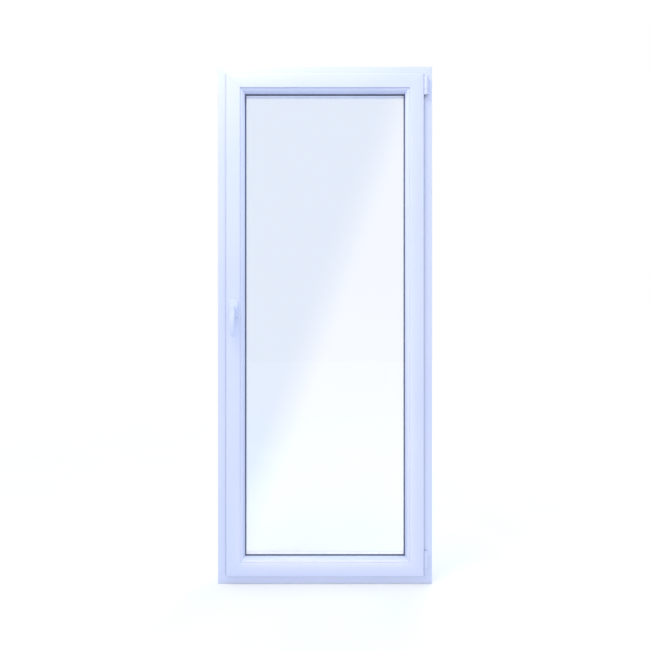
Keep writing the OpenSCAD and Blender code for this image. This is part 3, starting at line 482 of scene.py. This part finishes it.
def sash_profile(side):
    """Opening sash: body, lap over the frame, glazing lip outside, and the groove for the gear."""
    span = span_of(side)
    obj = block("sash_profile", (-span / 2, LAP_BACK, GROOVE_U), (span / 2, SASH_REAR, REBATE_U))
    pull(obj, lambda mid, way: way.y < -0.9, (0, SASH_FRONT - LAP_BACK, 0))
    pull(obj, lambda mid, way: way.z < -0.9 and mid.y < LAP_BACK, (0, 0, SASH_U - GROOVE_U))
    flatten(obj)
    cut(obj, (0, GLAZE_OUT, 0), (0, 1, 0))
    cut(obj, (0, SASH_FRONT + FACE_RIM, 0), (0, 1, 0))
    pull(obj, lambda mid, way: way.z > 0.9 and mid.y > GLAZE_OUT, (0, 0, GLAZE_LIP_U - REBATE_U))
    pull(obj, lambda mid, way: way.z > 0.9 and mid.y < SASH_FRONT + FACE_RIM, (0, 0, FACE_U - REBATE_U))
    flatten(obj)
    plate_groove = (PLATE_W / 2 + GROOVE_EASE, GROOVE_U, PLATE_U - GROOVE_U)
    rod_groove = (ROD_HALF, PLATE_U, ROD_DEEP)
    for half, floor, deep in (plate_groove, rod_groove):
        for edge in (-half, half):
            cut(obj, (0, GEAR_Y + edge, 0), (0, 1, 0))
        pull(obj, lambda mid, way: way.z < -0.9 and near(mid.z, floor) and abs(mid.y - GEAR_Y) < half,
             (0, 0, deep))
    flatten(obj)
    bevel(obj, at(SASH_REAR, GLAZE_LIP_U), LIP_ROUND, 5)
    bevel(obj, at(SASH_FRONT, SASH_U), SASH_ROUND, 6)
    bevel(obj, at(SASH_FRONT, FACE_U), FACE_ROUND, 4)
    bevel(obj, at(LAP_BACK, SASH_U), LAP_EDGE, 2)
    bevel(obj, at(SASH_REAR, GROOVE_U), REAR_EDGE, 3)
    mitred(obj, span)
    return to_side(obj, side, f"sash_profile_{side}")


def glazing_bead(side):
    """Clip-in bead with a full rounded slope down to the glass."""
    span = span_of(side)
    foot = FACE_U + BEAD_GAP
    obj = block("bead", (-span / 2, BEAD_FRONT, foot), (span / 2, BEAD_BACK, BEAD_U))
    pull(obj, lambda mid, way: way.z < -0.9, (0, 0, REBATE_U + 2 * BEAD_GAP - foot))
    pick(obj, faces=lambda mid, way: way.y < -0.9 and mid.z < FACE_U)
    bpy.ops.transform.translate(value=(0, CLIP_IN, 0))
    bevel(obj, at(BEAD_FRONT, BEAD_U), BEAD_U - foot - SLOPE_FOOT, 12, SLOPE_SHAPE)
    bevel(obj, at(BEAD_BACK, BEAD_U), LIP_EDGE, 3)
    mitred(obj, span, BEAD_JOINT)
    return to_side(obj, side, f"glazing_bead_{side}")


def carve(obj, cutter):
    """Takes a cutter out of a piece."""
    modify(obj, "BOOLEAN", object=cutter, operation="DIFFERENCE", solver="EXACT")
    bpy.data.objects.remove(cutter)


def bore(obj, radius, middle, depth):
    """Drills a hole along X."""
    start()
    bpy.ops.mesh.primitive_cylinder_add(vertices=40, radius=radius, depth=depth, location=middle,
                                        rotation=(0, math.radians(90), 0))
    carve(obj, bpy.context.object)


def slot_through(obj, corner, far, axis):
    """Cuts a slot with rounded ends along an axis."""
    cutter = block("slot", corner, far)
    flat = min((Vector(far) - Vector(corner))[i] for i in range(3) if i != axis)
    bevel(cutter, lambda mid, way: abs(way[axis]) > 0.9, SLOT_ROUND * flat, 6)
    start()
    carve(obj, cutter)


def fixing_holes(jamb, x):
    """Screw holes through a jamb into the wall, where the solids have them."""
    for row in frame["record"]["mounts"]:
        mount_x, y, z = row["pos_m"]
        if row["kind"] != "bolt_pattern" or mount_x < 0:
            continue
        radius = row["dims"]["hole_r_mm"] * MM - HOLE_EASE
        reach = row["dims"]["spacing_y_mm"] / 2 * MM
        for end in (-1, 1):
            bore(jamb, radius, (x, y, z + end * reach), 2 * (BODY_U + PAST))


def drain_slots(sill):
    """Slots that let water out: from the rebate into the chamber, and out behind the hoods."""
    in_y, out_z = LIP_IN - DRAIN_BACK, low("drain_caps").z + DRAIN_W
    for end in (-1, 1):
        x = end * (high("drain_caps").x - DRAIN_L / 2 - HOOD_SIDE)
        left, right = x - DRAIN_L / 2, x + DRAIN_L / 2
        slot_through(sill, (left, in_y - DRAIN_W, BODY_U - DRAIN_DEEP), (right, in_y, BODY_U + OVER),
                     axis=2)
        slot_through(sill, (left, Y_OUT - DRAIN_DEEP, out_z), (right, Y_OUT + OVER, out_z + DRAIN_W),
                     axis=1)


def bar_finish(side):
    return "white_x" if level(side) else "white_z"


FRAME_NODES = {"bottom": "frame_sill", "top": "frame_head", "left": "frame_jamb_left",
               "right": "frame_jamb_right"}
SASH_NODES = {"bottom": "sash_rail_bottom", "top": "sash_rail_top", "left": "sash_stile_left",
              "right": "sash_stile_right"}
for side in SIDES:
    bar = frame_profile(side)
    if side == "bottom":
        drain_slots(bar)
    elif side != "top":
        fixing_holes(bar, SIDES[side][1])
    for piece, body, node in ((bar, "frame", FRAME_NODES[side]),
                              (sash_profile(side), "sash", SASH_NODES[side]),
                              (glazing_bead(side), "sash", f"bead_{side}")):
        smooth(piece)
        dress(piece, bar_finish(side), body, node)


# Seals ---------------------------------------------------------------------------------------

# The room seal stands SEAL_SIGHT past the bead. The lap seal stands LIP_PROUD out from under the sash's edge
# and LAP_CLEAR off the frame, and TILT_EASE more where the sash leans back. Its lip is a real seal, set out
# so that its black shows along the seam and stands in for the shade there
SEAL_SIGHT, LIP_PROUD = 4.4 * MM, 3.0 * MM
LAP_CLEAR, TILT_EASE = 0.3 * MM, 1.9 * MM
# How deep each seal is rooted, its edge radii, and the stop seal's reach below the frame's lip
ROOM_ROOT, OUTER_ROOT, LAP_ROOT = 4 * MM, 6 * MM, 5 * MM
SEAL_ROUND, SEAL_EDGE, OUTER_ROUND = 2.2 * MM, 0.3 * MM, 1.2 * MM
BULB_ROUND, BULB_CREST = 1.8 * MM, 2.6 * MM
BULB_LOW, BULB_HIGH = 9 * MM, 3 * MM
ASIDE = 2 * MM


def joined(parts, name):
    """Several meshes as one piece."""
    start()
    for obj in parts:
        obj.select_set(True)
    bpy.context.view_layer.objects.active = parts[0]
    bpy.ops.object.join()
    return finished(parts[0], name)


def seal_ring(name, y, u, rounded, fit=None):
    """A seal round all four sides. rounded gives the long edges of its section and their radius."""
    bars = []
    for side in SIDES:
        span = span_of(side)
        obj = block(name, (-span / 2, y[0], u[0]), (span / 2, y[1], u[1]))
        for edge_y, edge_u, size in rounded:
            bevel(obj, at(edge_y, edge_u), size, 4)
        mitred(obj, span, SEAL_JOINT)
        bars.append(to_side(obj, side, name))
        if fit:
            fit(side, obj)
    ring = joined(bars, name)
    smooth(ring)
    return ring


def fit_lap_seal(side, bar):
    """Thins the lap seal below the tilt axis to clear the frame, and parts it at the hinges."""
    back = Y_ROOM - LAP_CLEAR
    if side != "top":
        tilt_axis = (low("pivot_ball").z + high("pivot_ball").z) / 2
        carve(bar, block("ease", (-WIDE, back - TILT_EASE, -TILT_EASE),
                         (WIDE, back + TILT_EASE, tilt_axis + ASIDE)))
    if side == "right":
        inner = high("sash_gasket").x - 2 * PAST
        for under, over in (("corner_bearing_cover", "hinge_band_cover"),
                            ("stay_knuckle_cover", "stay_bearing_cover")):
            carve(bar, block("gap", (inner, LAP_BACK - OVER, low(under).z - ASIDE),
                             (WIDE / 2, Y_ROOM, high(over).z + ASIDE)))


def seals():
    tip = BEAD_U + SEAL_SIGHT
    room = seal_ring("room_glazing_seal", (BEAD_BACK, PANE_ROOM), (BEAD_U - ROOM_ROOT, tip),
                     [(BEAD_BACK, tip, SEAL_ROUND), (PANE_ROOM, tip, SEAL_EDGE)])
    dress(room, "black_seal", "sash", "bead_gasket")
    outside = seal_ring("outside_glazing_seal", (PANE_OUT, GLAZE_OUT), (BEAD_U - OUTER_ROOT, BEAD_U),
                        [(GLAZE_OUT, BEAD_U, OUTER_ROUND)])
    dress(outside, "black_seal", "sash", "outer_gasket")
    bulb_y = (low("frame_gasket").y, LIP_IN)
    bulb_u = (LIP_U - BULB_LOW, LIP_U - BULB_HIGH)
    stop = seal_ring("frame_stop_seal", bulb_y, bulb_u,
                     [(bulb_y[0], bulb_u[0], BULB_ROUND), (bulb_y[0], bulb_u[1], BULB_CREST)])
    dress(stop, "black_seal", "frame", "frame_gasket")
    # The lip's black line along the seam is partly the real seal and partly a dark line that stands in for
    # the seam's shade
    lip = SASH_U - LIP_PROUD
    lap = seal_ring("sash_lap_seal", (LAP_BACK, Y_ROOM - LAP_CLEAR), (lip, SASH_U + LAP_ROOT),
                    [(LAP_BACK, lip, SEAL_ROUND)], fit_lap_seal)
    dress(lap, "black_seal", "sash", "sash_gasket")


seals()


# Hinge covers --------------------------------------------------------------------------------

HINGE = Vector(((low("hinge_band_cover").x + high("hinge_band_cover").x) / 2,
                (low("hinge_band_cover").y + high("hinge_band_cover").y) / 2, 0))
COVER_R = (high("hinge_band_cover").x - low("hinge_band_cover").x) / 2
COVER_RIM, SHELL = 2.0 * MM, 1.2 * MM
# The slot for a hinge's leaf: its two long edges, and how far it stays below the cap
LEAF_X, LEAF_Y = HINGE.x + 0.5 * MM, HINGE.y + 1.5 * MM
LEAF_TOP = 3.5 * MM


def open_tube(name, z):
    """A round wall about the hinge axis, open at both ends."""
    start()
    bpy.ops.mesh.primitive_cylinder_add(vertices=72, radius=COVER_R, depth=z[1] - z[0],
                                        end_fill_type="NOTHING", location=(HINGE.x, HINGE.y, sum(z) / 2))
    return finished(bpy.context.object, name)


def shelled(obj, z_closed=None):
    """Caps one end of a tube with a soft rim and gives the wall its thickness."""
    if z_closed is not None:
        pick(obj, edges=lambda mid, way: near(mid.z, z_closed) and abs(way.z) < 0.1)
        bpy.ops.mesh.edge_face_add()
        pick(obj, faces=lambda mid, way: abs(way.z) > 0.9 and near(mid.z, z_closed))
        bpy.ops.mesh.region_to_loop()
        bpy.ops.mesh.bevel(offset=COVER_RIM, segments=6, profile=0.5, affect="EDGES")
    bpy.ops.object.mode_set(mode="EDIT")
    bpy.ops.mesh.select_all(action="SELECT")
    bpy.ops.mesh.normals_make_consistent(inside=False)
    modify(obj, "SOLIDIFY", thickness=SHELL, offset=-1, use_even_offset=True)
    smooth(obj, 40)
    return obj


def frame_cover(name, node, closed_top):
    """Cover of a hinge part on the frame: rounded in front, straight back to the frame's face."""
    z = (low(node).z, high(node).z)
    obj = open_tube(name, z)
    bpy.ops.object.mode_set(mode="EDIT")
    bpy.ops.mesh.select_all(action="SELECT")
    bpy.ops.mesh.bisect(plane_co=HINGE, plane_no=(0, 1, 0), clear_outer=True)
    pick(obj, edges=lambda mid, way: abs(way.z) > 0.9 and near(mid.y, HINGE.y))
    bpy.ops.mesh.extrude_region_move(TRANSFORM_OT_translate={"value": (0, Y_ROOM - HINGE.y, 0)})
    return shelled(obj, z[1] if closed_top else z[0])


def slotted_cover(name, node, slot_z, closed):
    """Cover of a hinge part that turns: round, with a slot behind for the hinge's leaf."""
    z = (low(node).z, high(node).z)
    obj = open_tube(name, z)
    for slot_end in slot_z:
        if z[0] < slot_end < z[1]:
            cut(obj, (0, 0, slot_end), (0, 0, 1))
    cut(obj, (LEAF_X, 0, 0), (1, 0, 0))
    cut(obj, (0, LEAF_Y, 0), (0, 1, 0))
    pick(obj, faces=lambda mid, way: mid.x < LEAF_X and mid.y > LEAF_Y and slot_z[0] < mid.z < slot_z[1])
    bpy.ops.mesh.delete(type="FACE")
    return shelled(obj, z[1] if closed else None)


def hinge_covers():
    leaf = (low("hinge_band_cover").z - OVER, high("hinge_band_cover").z - LEAF_TOP)
    knuckle = (low("stay_knuckle_cover").z - OVER, high("stay_knuckle_cover").z + OVER)
    for obj, body, node in (
            (frame_cover("corner_cover_cap", "corner_bearing_cover", False), "frame", "corner_bearing_cover"),
            (frame_cover("stay_cover_cap", "stay_bearing_cover", True), "frame", "stay_bearing_cover"),
            (slotted_cover("band_cover_cap", "hinge_band_cover", leaf, True), "sash", "hinge_band_cover"),
            (slotted_cover("knuckle_sleeve", "stay_knuckle_cover", knuckle, False), "stay_arm",
             "stay_knuckle_cover")):
        dress(obj, "hinge_cover", body, node)


hinge_covers()


# Handle --------------------------------------------------------------------------------------

SPINDLE = (low("handle_spindle") + high("handle_spindle")) / 2
PLATE_CORNER, PLATE_RIM = 10 * MM, 2.4 * MM
COLLAR_R, COLLAR_H, COLLAR_PROUD, COLLAR_RIM = 12.6 * MM, 3.2 * MM, 0.2 * MM, 1.2 * MM


def soft_front(obj, size, segments):
    """Rounds the rim of the front face."""
    front = min(v.co.y for v in obj.data.vertices)
    pick(obj, faces=lambda mid, way: way.y < -0.9 and near(mid.y, front))
    bpy.ops.mesh.region_to_loop()
    bpy.ops.mesh.bevel(offset=size, segments=segments, affect="EDGES")


def rosette():
    """Rounded cover plate with a raised collar round the neck."""
    corner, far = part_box("handle_rosette")
    plate = block("rosette", corner, far)
    bevel(plate, lambda mid, way: abs(way.y) > 0.9, PLATE_CORNER, 8)
    soft_front(plate, PLATE_RIM, 6)
    start()
    bpy.ops.mesh.primitive_cylinder_add(vertices=64, radius=COLLAR_R, depth=COLLAR_H,
                                        location=(SPINDLE.x, corner.y - COLLAR_PROUD, SPINDLE.z),
                                        rotation=(math.radians(90), 0, 0))
    collar = finished(bpy.context.object, "collar")
    soft_front(collar, COLLAR_RIM, 4)
    return joined([plate, collar], "handle_rosette_plate")


# Sections of the lever from its head to its tip, in millimetres: distance below the spindle, width,
# thickness and how far the middle stands back from the head's middle
LEVER = ((-14.5, 22.6, 12.6, 0.0), (13.0, 22.4, 12.6, -0.8), (27.0, 21.0, 12.0, -3.8),
         (50.0, 19.8, 11.4, -7.0), (76.0, 18.6, 10.6, -5.4), (96.0, 17.4, 9.8, -1.0),
         (109.5, 16.0, 9.0, 3.6))
# The head's front behind the foremost point, the step into the neck, and the edges' radius
HEAD_BACK = 7.6 * MM
NECK_ROOT, NECK_TAPER = 3.5 * MM, (0.80, 1, 0.66)
LEVER_ROUND = 3.6 * MM


def draw_neck(obj, back, bottom):
    """Draws the back of the lever's head into a narrower neck that enters the rosette."""
    def head_back(y):
        return lambda mid, way: way.y > 0.9 and near(mid.y, y, 0.5 * MM) and mid.z > bottom

    root, end = back + NECK_ROOT, low("handle_rosette").y - OVER
    pull(obj, head_back(back), (0, NECK_ROOT, 0))
    bpy.ops.transform.resize(value=NECK_TAPER, center_override=(SPINDLE.x, back, SPINDLE.z))
    pull(obj, head_back(root), (0, end - root, 0))


def lever():
    """Grip drawn down from the neck section by section, leaning back to its tip, then smoothed."""
    (top, wide, deep, _), (foot, _, _, lean) = LEVER[:2]
    half, thick, bottom = wide / 2 * MM, deep / 2 * MM, SPINDLE.z - foot * MM
    mid_y = low("handle_lever").y + thick + HEAD_BACK
    obj = block("lever", (SPINDLE.x - half, mid_y - thick, bottom),
                (SPINDLE.x + half, mid_y + thick, SPINDLE.z - top * MM))
    pick(obj, faces=lambda mid, way: way.z < -0.9)
    bpy.ops.transform.translate(value=(0, lean * MM, 0))
    at_z, at_y = bottom, mid_y + lean * MM
    for (_, wide_0, deep_0, back_0), (drop, wide, deep, back) in zip(LEVER[1:], LEVER[2:]):
        to_z, step = SPINDLE.z - drop * MM, (back - back_0) * MM
        pull(obj, lambda mid, way: way.z < -0.9 and near(mid.z, at_z, 0.3 * MM), (0, step, to_z - at_z))
        at_z, at_y = to_z, at_y + step
        bpy.ops.transform.resize(value=(wide / wide_0, deep / deep_0, 1),
                                 center_override=(SPINDLE.x, at_y, at_z))
    draw_neck(obj, mid_y + thick, bottom)
    bpy.ops.mesh.select_mode(type="EDGE")
    bpy.ops.mesh.select_all(action="DESELECT")
    bpy.ops.mesh.edges_select_sharp(sharpness=math.radians(40))
    bpy.ops.mesh.bevel(offset=LEVER_ROUND, segments=2, profile=0.5, affect="EDGES")
    modify(obj, "SUBSURF", levels=2, render_levels=2)
    smooth(obj, 60)
    return finished(obj, "handle_lever_grip")


def handle():
    plate = rosette()
    smooth(plate, 40)
    dress(plate, "handle_coat", "sash", "handle_rosette")
    dress(lever(), "handle_coat", "handle", "handle_lever")


handle()


# Hardware: the solids' own shapes with broken edges ------------------------------------------

BODY_OF = {node: body for body, nodes in frame["record"]["behaviour"]["bodies"].items() for node in nodes}
SLOT_OF = {row["node"]: row["material_slot"] for row in frame["record"]["subparts"]}


def loose_copy(node):
    """A copy of a CAD node's mesh with its triangles merged."""
    start()
    source = frame["nodes"][node]
    obj = bpy.data.objects.new(f"{node}_copy", source.data.copy())
    bpy.context.scene.collection.objects.link(obj)
    bpy.context.view_layer.objects.active = obj
    flatten(obj)
    bpy.ops.object.mode_set(mode="OBJECT")
    return obj


def finish_of(node):
    return SLOT_OF[node] if SLOT_OF[node] in FINISH else "white_x"


def with_broken_edges(node, size, name):
    """The solid's own shape with its sharp edges broken."""
    obj = loose_copy(node)
    modify(obj, "BEVEL", width=size, segments=2, limit_method="ANGLE", angle_limit=math.radians(35))
    smooth(obj, 30)
    finished(obj, name)
    dress(obj, finish_of(node), BODY_OF[node], node)


# Size of each broken edge in millimetres, and the name of the piece
BROKEN_EDGES = {
    "drain_caps": (0.5, "drain_hoods"), "side_keeps": (0.3, "side_keep_plates"),
    "head_keep": (0.3, "head_keep_plate"), "sill_keep": (0.3, "sill_keep_plate"),
    "side_faceplate": (0.25, "side_faceplate_strip"), "top_faceplate": (0.25, "top_faceplate_strip"),
    "bottom_faceplate": (0.25, "bottom_faceplate_strip"), "corner_drive_top": (0.25, "top_corner_angle"),
    "corner_drive_bottom": (0.25, "bottom_corner_angle"), "hinge_band": (0.3, "hinge_band_forging"),
    "corner_bearing": (0.3, "corner_bearing_forging"), "stay_bearing": (0.3, "stay_bearing_forging"),
    "stay_arm": (0.3, "stay_arm_forging"), "stay_link": (0.25, "stay_link_bar"),
    "side_cams": (0.3, "side_cam_rollers"), "top_cam": (0.3, "top_cam_roller"),
    "bottom_cam": (0.3, "bottom_cam_roller"), "stay_bearing_pin": (0.3, "stay_pin"),
    "glazing_packers": (0.4, "packer_blocks"), "gearbox_housing": (0.3, "gearbox_case"),
}
for node, (size, name) in BROKEN_EDGES.items():
    with_broken_edges(node, size * MM, name)


# Screws --------------------------------------------------------------------------------------

# The head's straight rim, and a little less or more than it
HEAD_RIM, NICK = 0.12 * MM, 0.01 * MM
# Arms of the cross: length, half width and depth as shares of the head's radius, and their taper
ARM, ARM_HALF, ARM_DEEP, ARM_TAPER = 0.62, 0.17, 0.55, 0.45


def cross_headed(length, shank, head):
    """A countersunk screw along -Z with its head at the origin and a cross recess."""
    start()
    bpy.ops.mesh.primitive_cylinder_add(vertices=32, radius=shank, depth=length, location=(0, 0, -length / 2))
    screw = finished(bpy.context.object, "screw")
    cut(screw, (0, 0, shank - head), (0, 0, 1))
    cut(screw, (0, 0, -HEAD_RIM), (0, 0, 1))
    pick(screw, edges=lambda mid, way: mid.z > -HEAD_RIM - NICK and abs(way.z) < 0.1)
    bpy.ops.transform.resize(value=(head / shank, head / shank, 1), center_override=(0, 0, 0))
    pick(screw, faces=lambda mid, way: way.z > 0.9)
    bpy.ops.mesh.region_to_loop()
    bpy.ops.mesh.bevel(offset=HEAD_RIM - NICK, segments=2, affect="EDGES")
    arm, side, deep = head * ARM, head * ARM_HALF, head * ARM_DEEP
    for half_x, half_y, taper in ((arm, side, (ARM_TAPER, 1, 1)), (side, arm, (1, ARM_TAPER, 1))):
        wing = block("wing", (-half_x, -half_y, -deep), (half_x, half_y, OVER / 2))
        pick(wing, faces=lambda mid, way: way.z < -0.9)
        bpy.ops.transform.resize(value=taper, center_override=(0, 0, -deep))
        start()
        carve(screw, wing)
    smooth(screw, 30)
    return screw


def islands(node):
    """The corners of each separate solid of a node."""
    copy = loose_copy(node)
    start()
    copy.select_set(True)
    bpy.context.view_layer.objects.active = copy
    bpy.ops.object.mode_set(mode="EDIT")
    bpy.ops.mesh.separate(type="LOOSE")
    bpy.ops.object.mode_set(mode="OBJECT")
    found = []
    for part in list(bpy.context.selected_objects):
        found.append([v.co.copy() for v in part.data.vertices])
        bpy.data.objects.remove(part)
    return found


def screws(node, name):
    """Stands a cross-headed screw in the place of each solid of a node, whose head is its wide end."""
    placed, model = [], None
    for points in islands(node):
        near_corner, far_corner = (Vector([end(p[i] for p in points) for i in range(3)])
                                   for end in (min, max))
        size, middle = far_corner - near_corner, (near_corner + far_corner) / 2
        along = max(range(3), key=lambda i: size[i])
        across = [i for i in range(3) if i != along]
        head_at = max(points, key=lambda p: sum((p[i] - middle[i]) ** 2 for i in across))[along]
        way = Vector((0, 0, 0))
        way[along] = 1 if head_at > middle[along] else -1
        top = middle.copy()
        top[along] = head_at
        if model is None:
            tip = [p for p in points if abs(p[along] - head_at) > 0.8 * size[along]]
            shank = max(abs(p[across[0]] - middle[across[0]]) for p in tip)
            model = cross_headed(size[along], shank, size[across[0]] / 2)
        copy = bpy.data.objects.new("screw", model.data.copy())
        bpy.context.scene.collection.objects.link(copy)
        turn = Vector((0, 0, 1)).rotation_difference(way).to_matrix().to_4x4()
        copy.matrix_world = Matrix.Translation(top) @ turn
        placed.append(finished(copy, "screw"))
    bpy.data.objects.remove(model)
    dress(joined(placed, name), "plated_steel", BODY_OF[node], node)


SCREWS = {"keep_screws": "keep_plate_screws", "bearing_screws": "hinge_bearing_screws",
          "faceplate_screws": "faceplate_strip_screws", "hinge_band_screws": "hinge_band_fixings",
          "handle_screws": "handle_fixings"}
for node, name in SCREWS.items():
    screws(node, name)


# CAD nodes that stay take their slot's finish ------------------------------------------------

for node, obj in frame["nodes"].items():
    obj.data.materials.clear()
    obj.data.materials.append(FINISH[finish_of(node)])


# Studio --------------------------------------------------------------------------------------

# Cool light from all round, and the share of it that comes up from the far floor
AMBIENT, AMBIENT_STRENGTH, HAZE_STRENGTH = (0.768, 0.838, 1.02), 1.13, 0.80
LENS, SENSOR, CAMERA_AWAY = 27.3, 36.0, 2.0
FLOOR_SIZE, FLOOR_DROP = 24, 0.4 * MM
# How far from the window the floor starts to fade into the backdrop, and where it has
FADE_START, FADE_END = 1.2, 4.5
# The card's distance from the glass and its strength, a point on its slanting edge as x and z,
# and that edge's run in x for each metre up
CARD_AWAY, CARD_GLOW = 0.2, 5.8
CARD_FOOT, CARD_SLOPE = (-0.362, 0.075), 0.366


def lamp(name, place, aim, size, power, colour):
    data = bpy.data.lights.new(name, "AREA")
    data.shape, data.size, data.energy, data.color = "DISK", size, power, colour
    obj = bpy.data.objects.new(name, data)
    bpy.context.scene.collection.objects.link(obj)
    obj.location = place
    obj.rotation_euler = (Vector(aim) - Vector(place)).to_track_quat("-Z", "Y").to_euler()
    return obj


def backdrop_seen(f):
    """1 for the rays that look at the backdrop itself, straight, mirrored or through glass."""
    path = f.node("ShaderNodeLightPath")
    seen_or_mirrored = path["Is Camera Ray"].math("MAXIMUM", path["Is Glossy Ray"])
    return seen_or_mirrored.math("MAXIMUM", path["Is Transmission Ray"])


def studio():
    """A lamp over the room side, one behind, and even light from all round."""
    lamp("overhead", place=(-0.85, -1.0, 3.55), aim=(0, 0, 1.3), size=1.2, power=28,
         colour=(1.0, 0.945, 0.95))
    back = lamp("back", place=(1.8, 2.9, 3.4), aim=(0, 0, 0.8), size=2.2, power=30,
                colour=(1.0, 1.0, 1.0))
    back.visible_camera = back.visible_transmission = False
    world = bpy.data.worlds.new("studio")
    bpy.context.scene.world = world
    f = Finish("studio", world)
    ambient = f.node("ShaderNodeBackground", {}, {"Color": (*AMBIENT, 1.0), "Strength": AMBIENT_STRENGTH})[0]
    white = f.node("ShaderNodeBackground", {}, {"Color": (1.0, 1.0, 1.0, 1.0), "Strength": 1.0})[0]
    mixed = f.node("ShaderNodeMixShader", {}, {0: backdrop_seen(f), 1: ambient, 2: white})[0]
    f.node("ShaderNodeOutputWorld", {}, {"Surface": mixed})


def pale_floor():
    """Pale floor that grows into the white backdrop with the distance from the window."""
    start()
    bpy.ops.mesh.primitive_plane_add(size=FLOOR_SIZE, location=(0, 0, -FLOOR_DROP))
    obj = finished(bpy.context.object, "studio_floor")
    f = Finish("pale_floor")
    far = f.node("ShaderNodeVectorMath", {"operation": "LENGTH"}, {0: f.place})["Value"]
    rise = f.span(far, 0.0, 1.0, FADE_START, FADE_END)
    tone = f.blend(f.span(f.noise(3.0), 0.0, 1.0), (0.70, 0.70, 0.72), (0.74, 0.74, 0.76))
    cover = f.node("ShaderNodeBsdfDiffuse", {}, {"Color": f.blend(rise, tone, (0.02, 0.02, 0.02))})[0]
    glow = f.node("ShaderNodeEmission", {}, {"Color": f.blend(rise, (0.25, 0.25, 0.17), (1.0, 1.0, 1.0)),
                                             "Strength": 1.0})[0]
    haze = f.node("ShaderNodeEmission", {}, {"Color": f.blend(rise, (0.0, 0.0, 0.0), AMBIENT),
                                             "Strength": HAZE_STRENGTH})[0]
    added = f.node("ShaderNodeMixShader", {}, {0: backdrop_seen(f), 1: haze, 2: glow})[0]
    f.output(f.node("ShaderNodeAddShader", {}, {0: cover, 1: added})[0])
    obj.data.materials.append(f.material)


def camera():
    data = bpy.data.cameras.new("camera")
    data.lens, data.sensor_width = LENS, SENSOR
    obj = bpy.data.objects.new("camera", data)
    bpy.context.scene.collection.objects.link(obj)
    obj.location = (0, Y_ROOM - CAMERA_AWAY, TALL / 2)
    obj.rotation_euler = (math.radians(90), 0, 0)
    bpy.context.scene.camera = obj


def reflected_card():
    """A soft warm light behind a grid, close in front of the glass, that only gloss shows."""
    start()
    spread = 1 + CARD_AWAY / CAMERA_AWAY
    bpy.ops.mesh.primitive_plane_add(size=2, location=(0, PANE_ROOM - CARD_AWAY, TALL / 2),
                                     rotation=(math.radians(90), 0, 0))
    obj = bpy.context.object
    obj.scale = ((WIDE / 2 - BEAD_U) * spread, (TALL / 2 - BEAD_U) * spread, 1)
    finished(obj, "reflected_card")
    f = Finish("card_glow")
    axis = f.node("ShaderNodeSeparateXYZ", {}, {"Vector": f.place})
    slant = axis["X"] - (axis["Z"] - CARD_FOOT[1]) * CARD_SLOPE - CARD_FOOT[0]
    straight = f.span(f.node("ShaderNodeLayerWeight", {}, {"Blend": 0.5})["Facing"], 1.0, 0.0, 0.13, 0.24)
    share = f.span(slant, 0.0, 1.0, -0.10, 0.06) * straight
    warm = f.blend(f.span(axis["Z"], 0.0, 1.0, 0.3, 1.3), (1.0, 0.80, 0.52), (0.76, 0.61, 0.40))
    glow = f.node("ShaderNodeEmission", {}, {"Color": warm, "Strength": CARD_GLOW})[0]
    clear = f.node("ShaderNodeBsdfTransparent")[0]
    f.output(f.node("ShaderNodeMixShader", {}, {0: share, 1: clear, 2: glow})[0])
    obj.data.materials.append(f.material)
    obj.visible_camera = obj.visible_diffuse = obj.visible_shadow = obj.visible_transmission = False


studio()
pale_floor()
reflected_card()
camera()
bpy.context.scene.view_settings.view_transform = "Standard"
start()
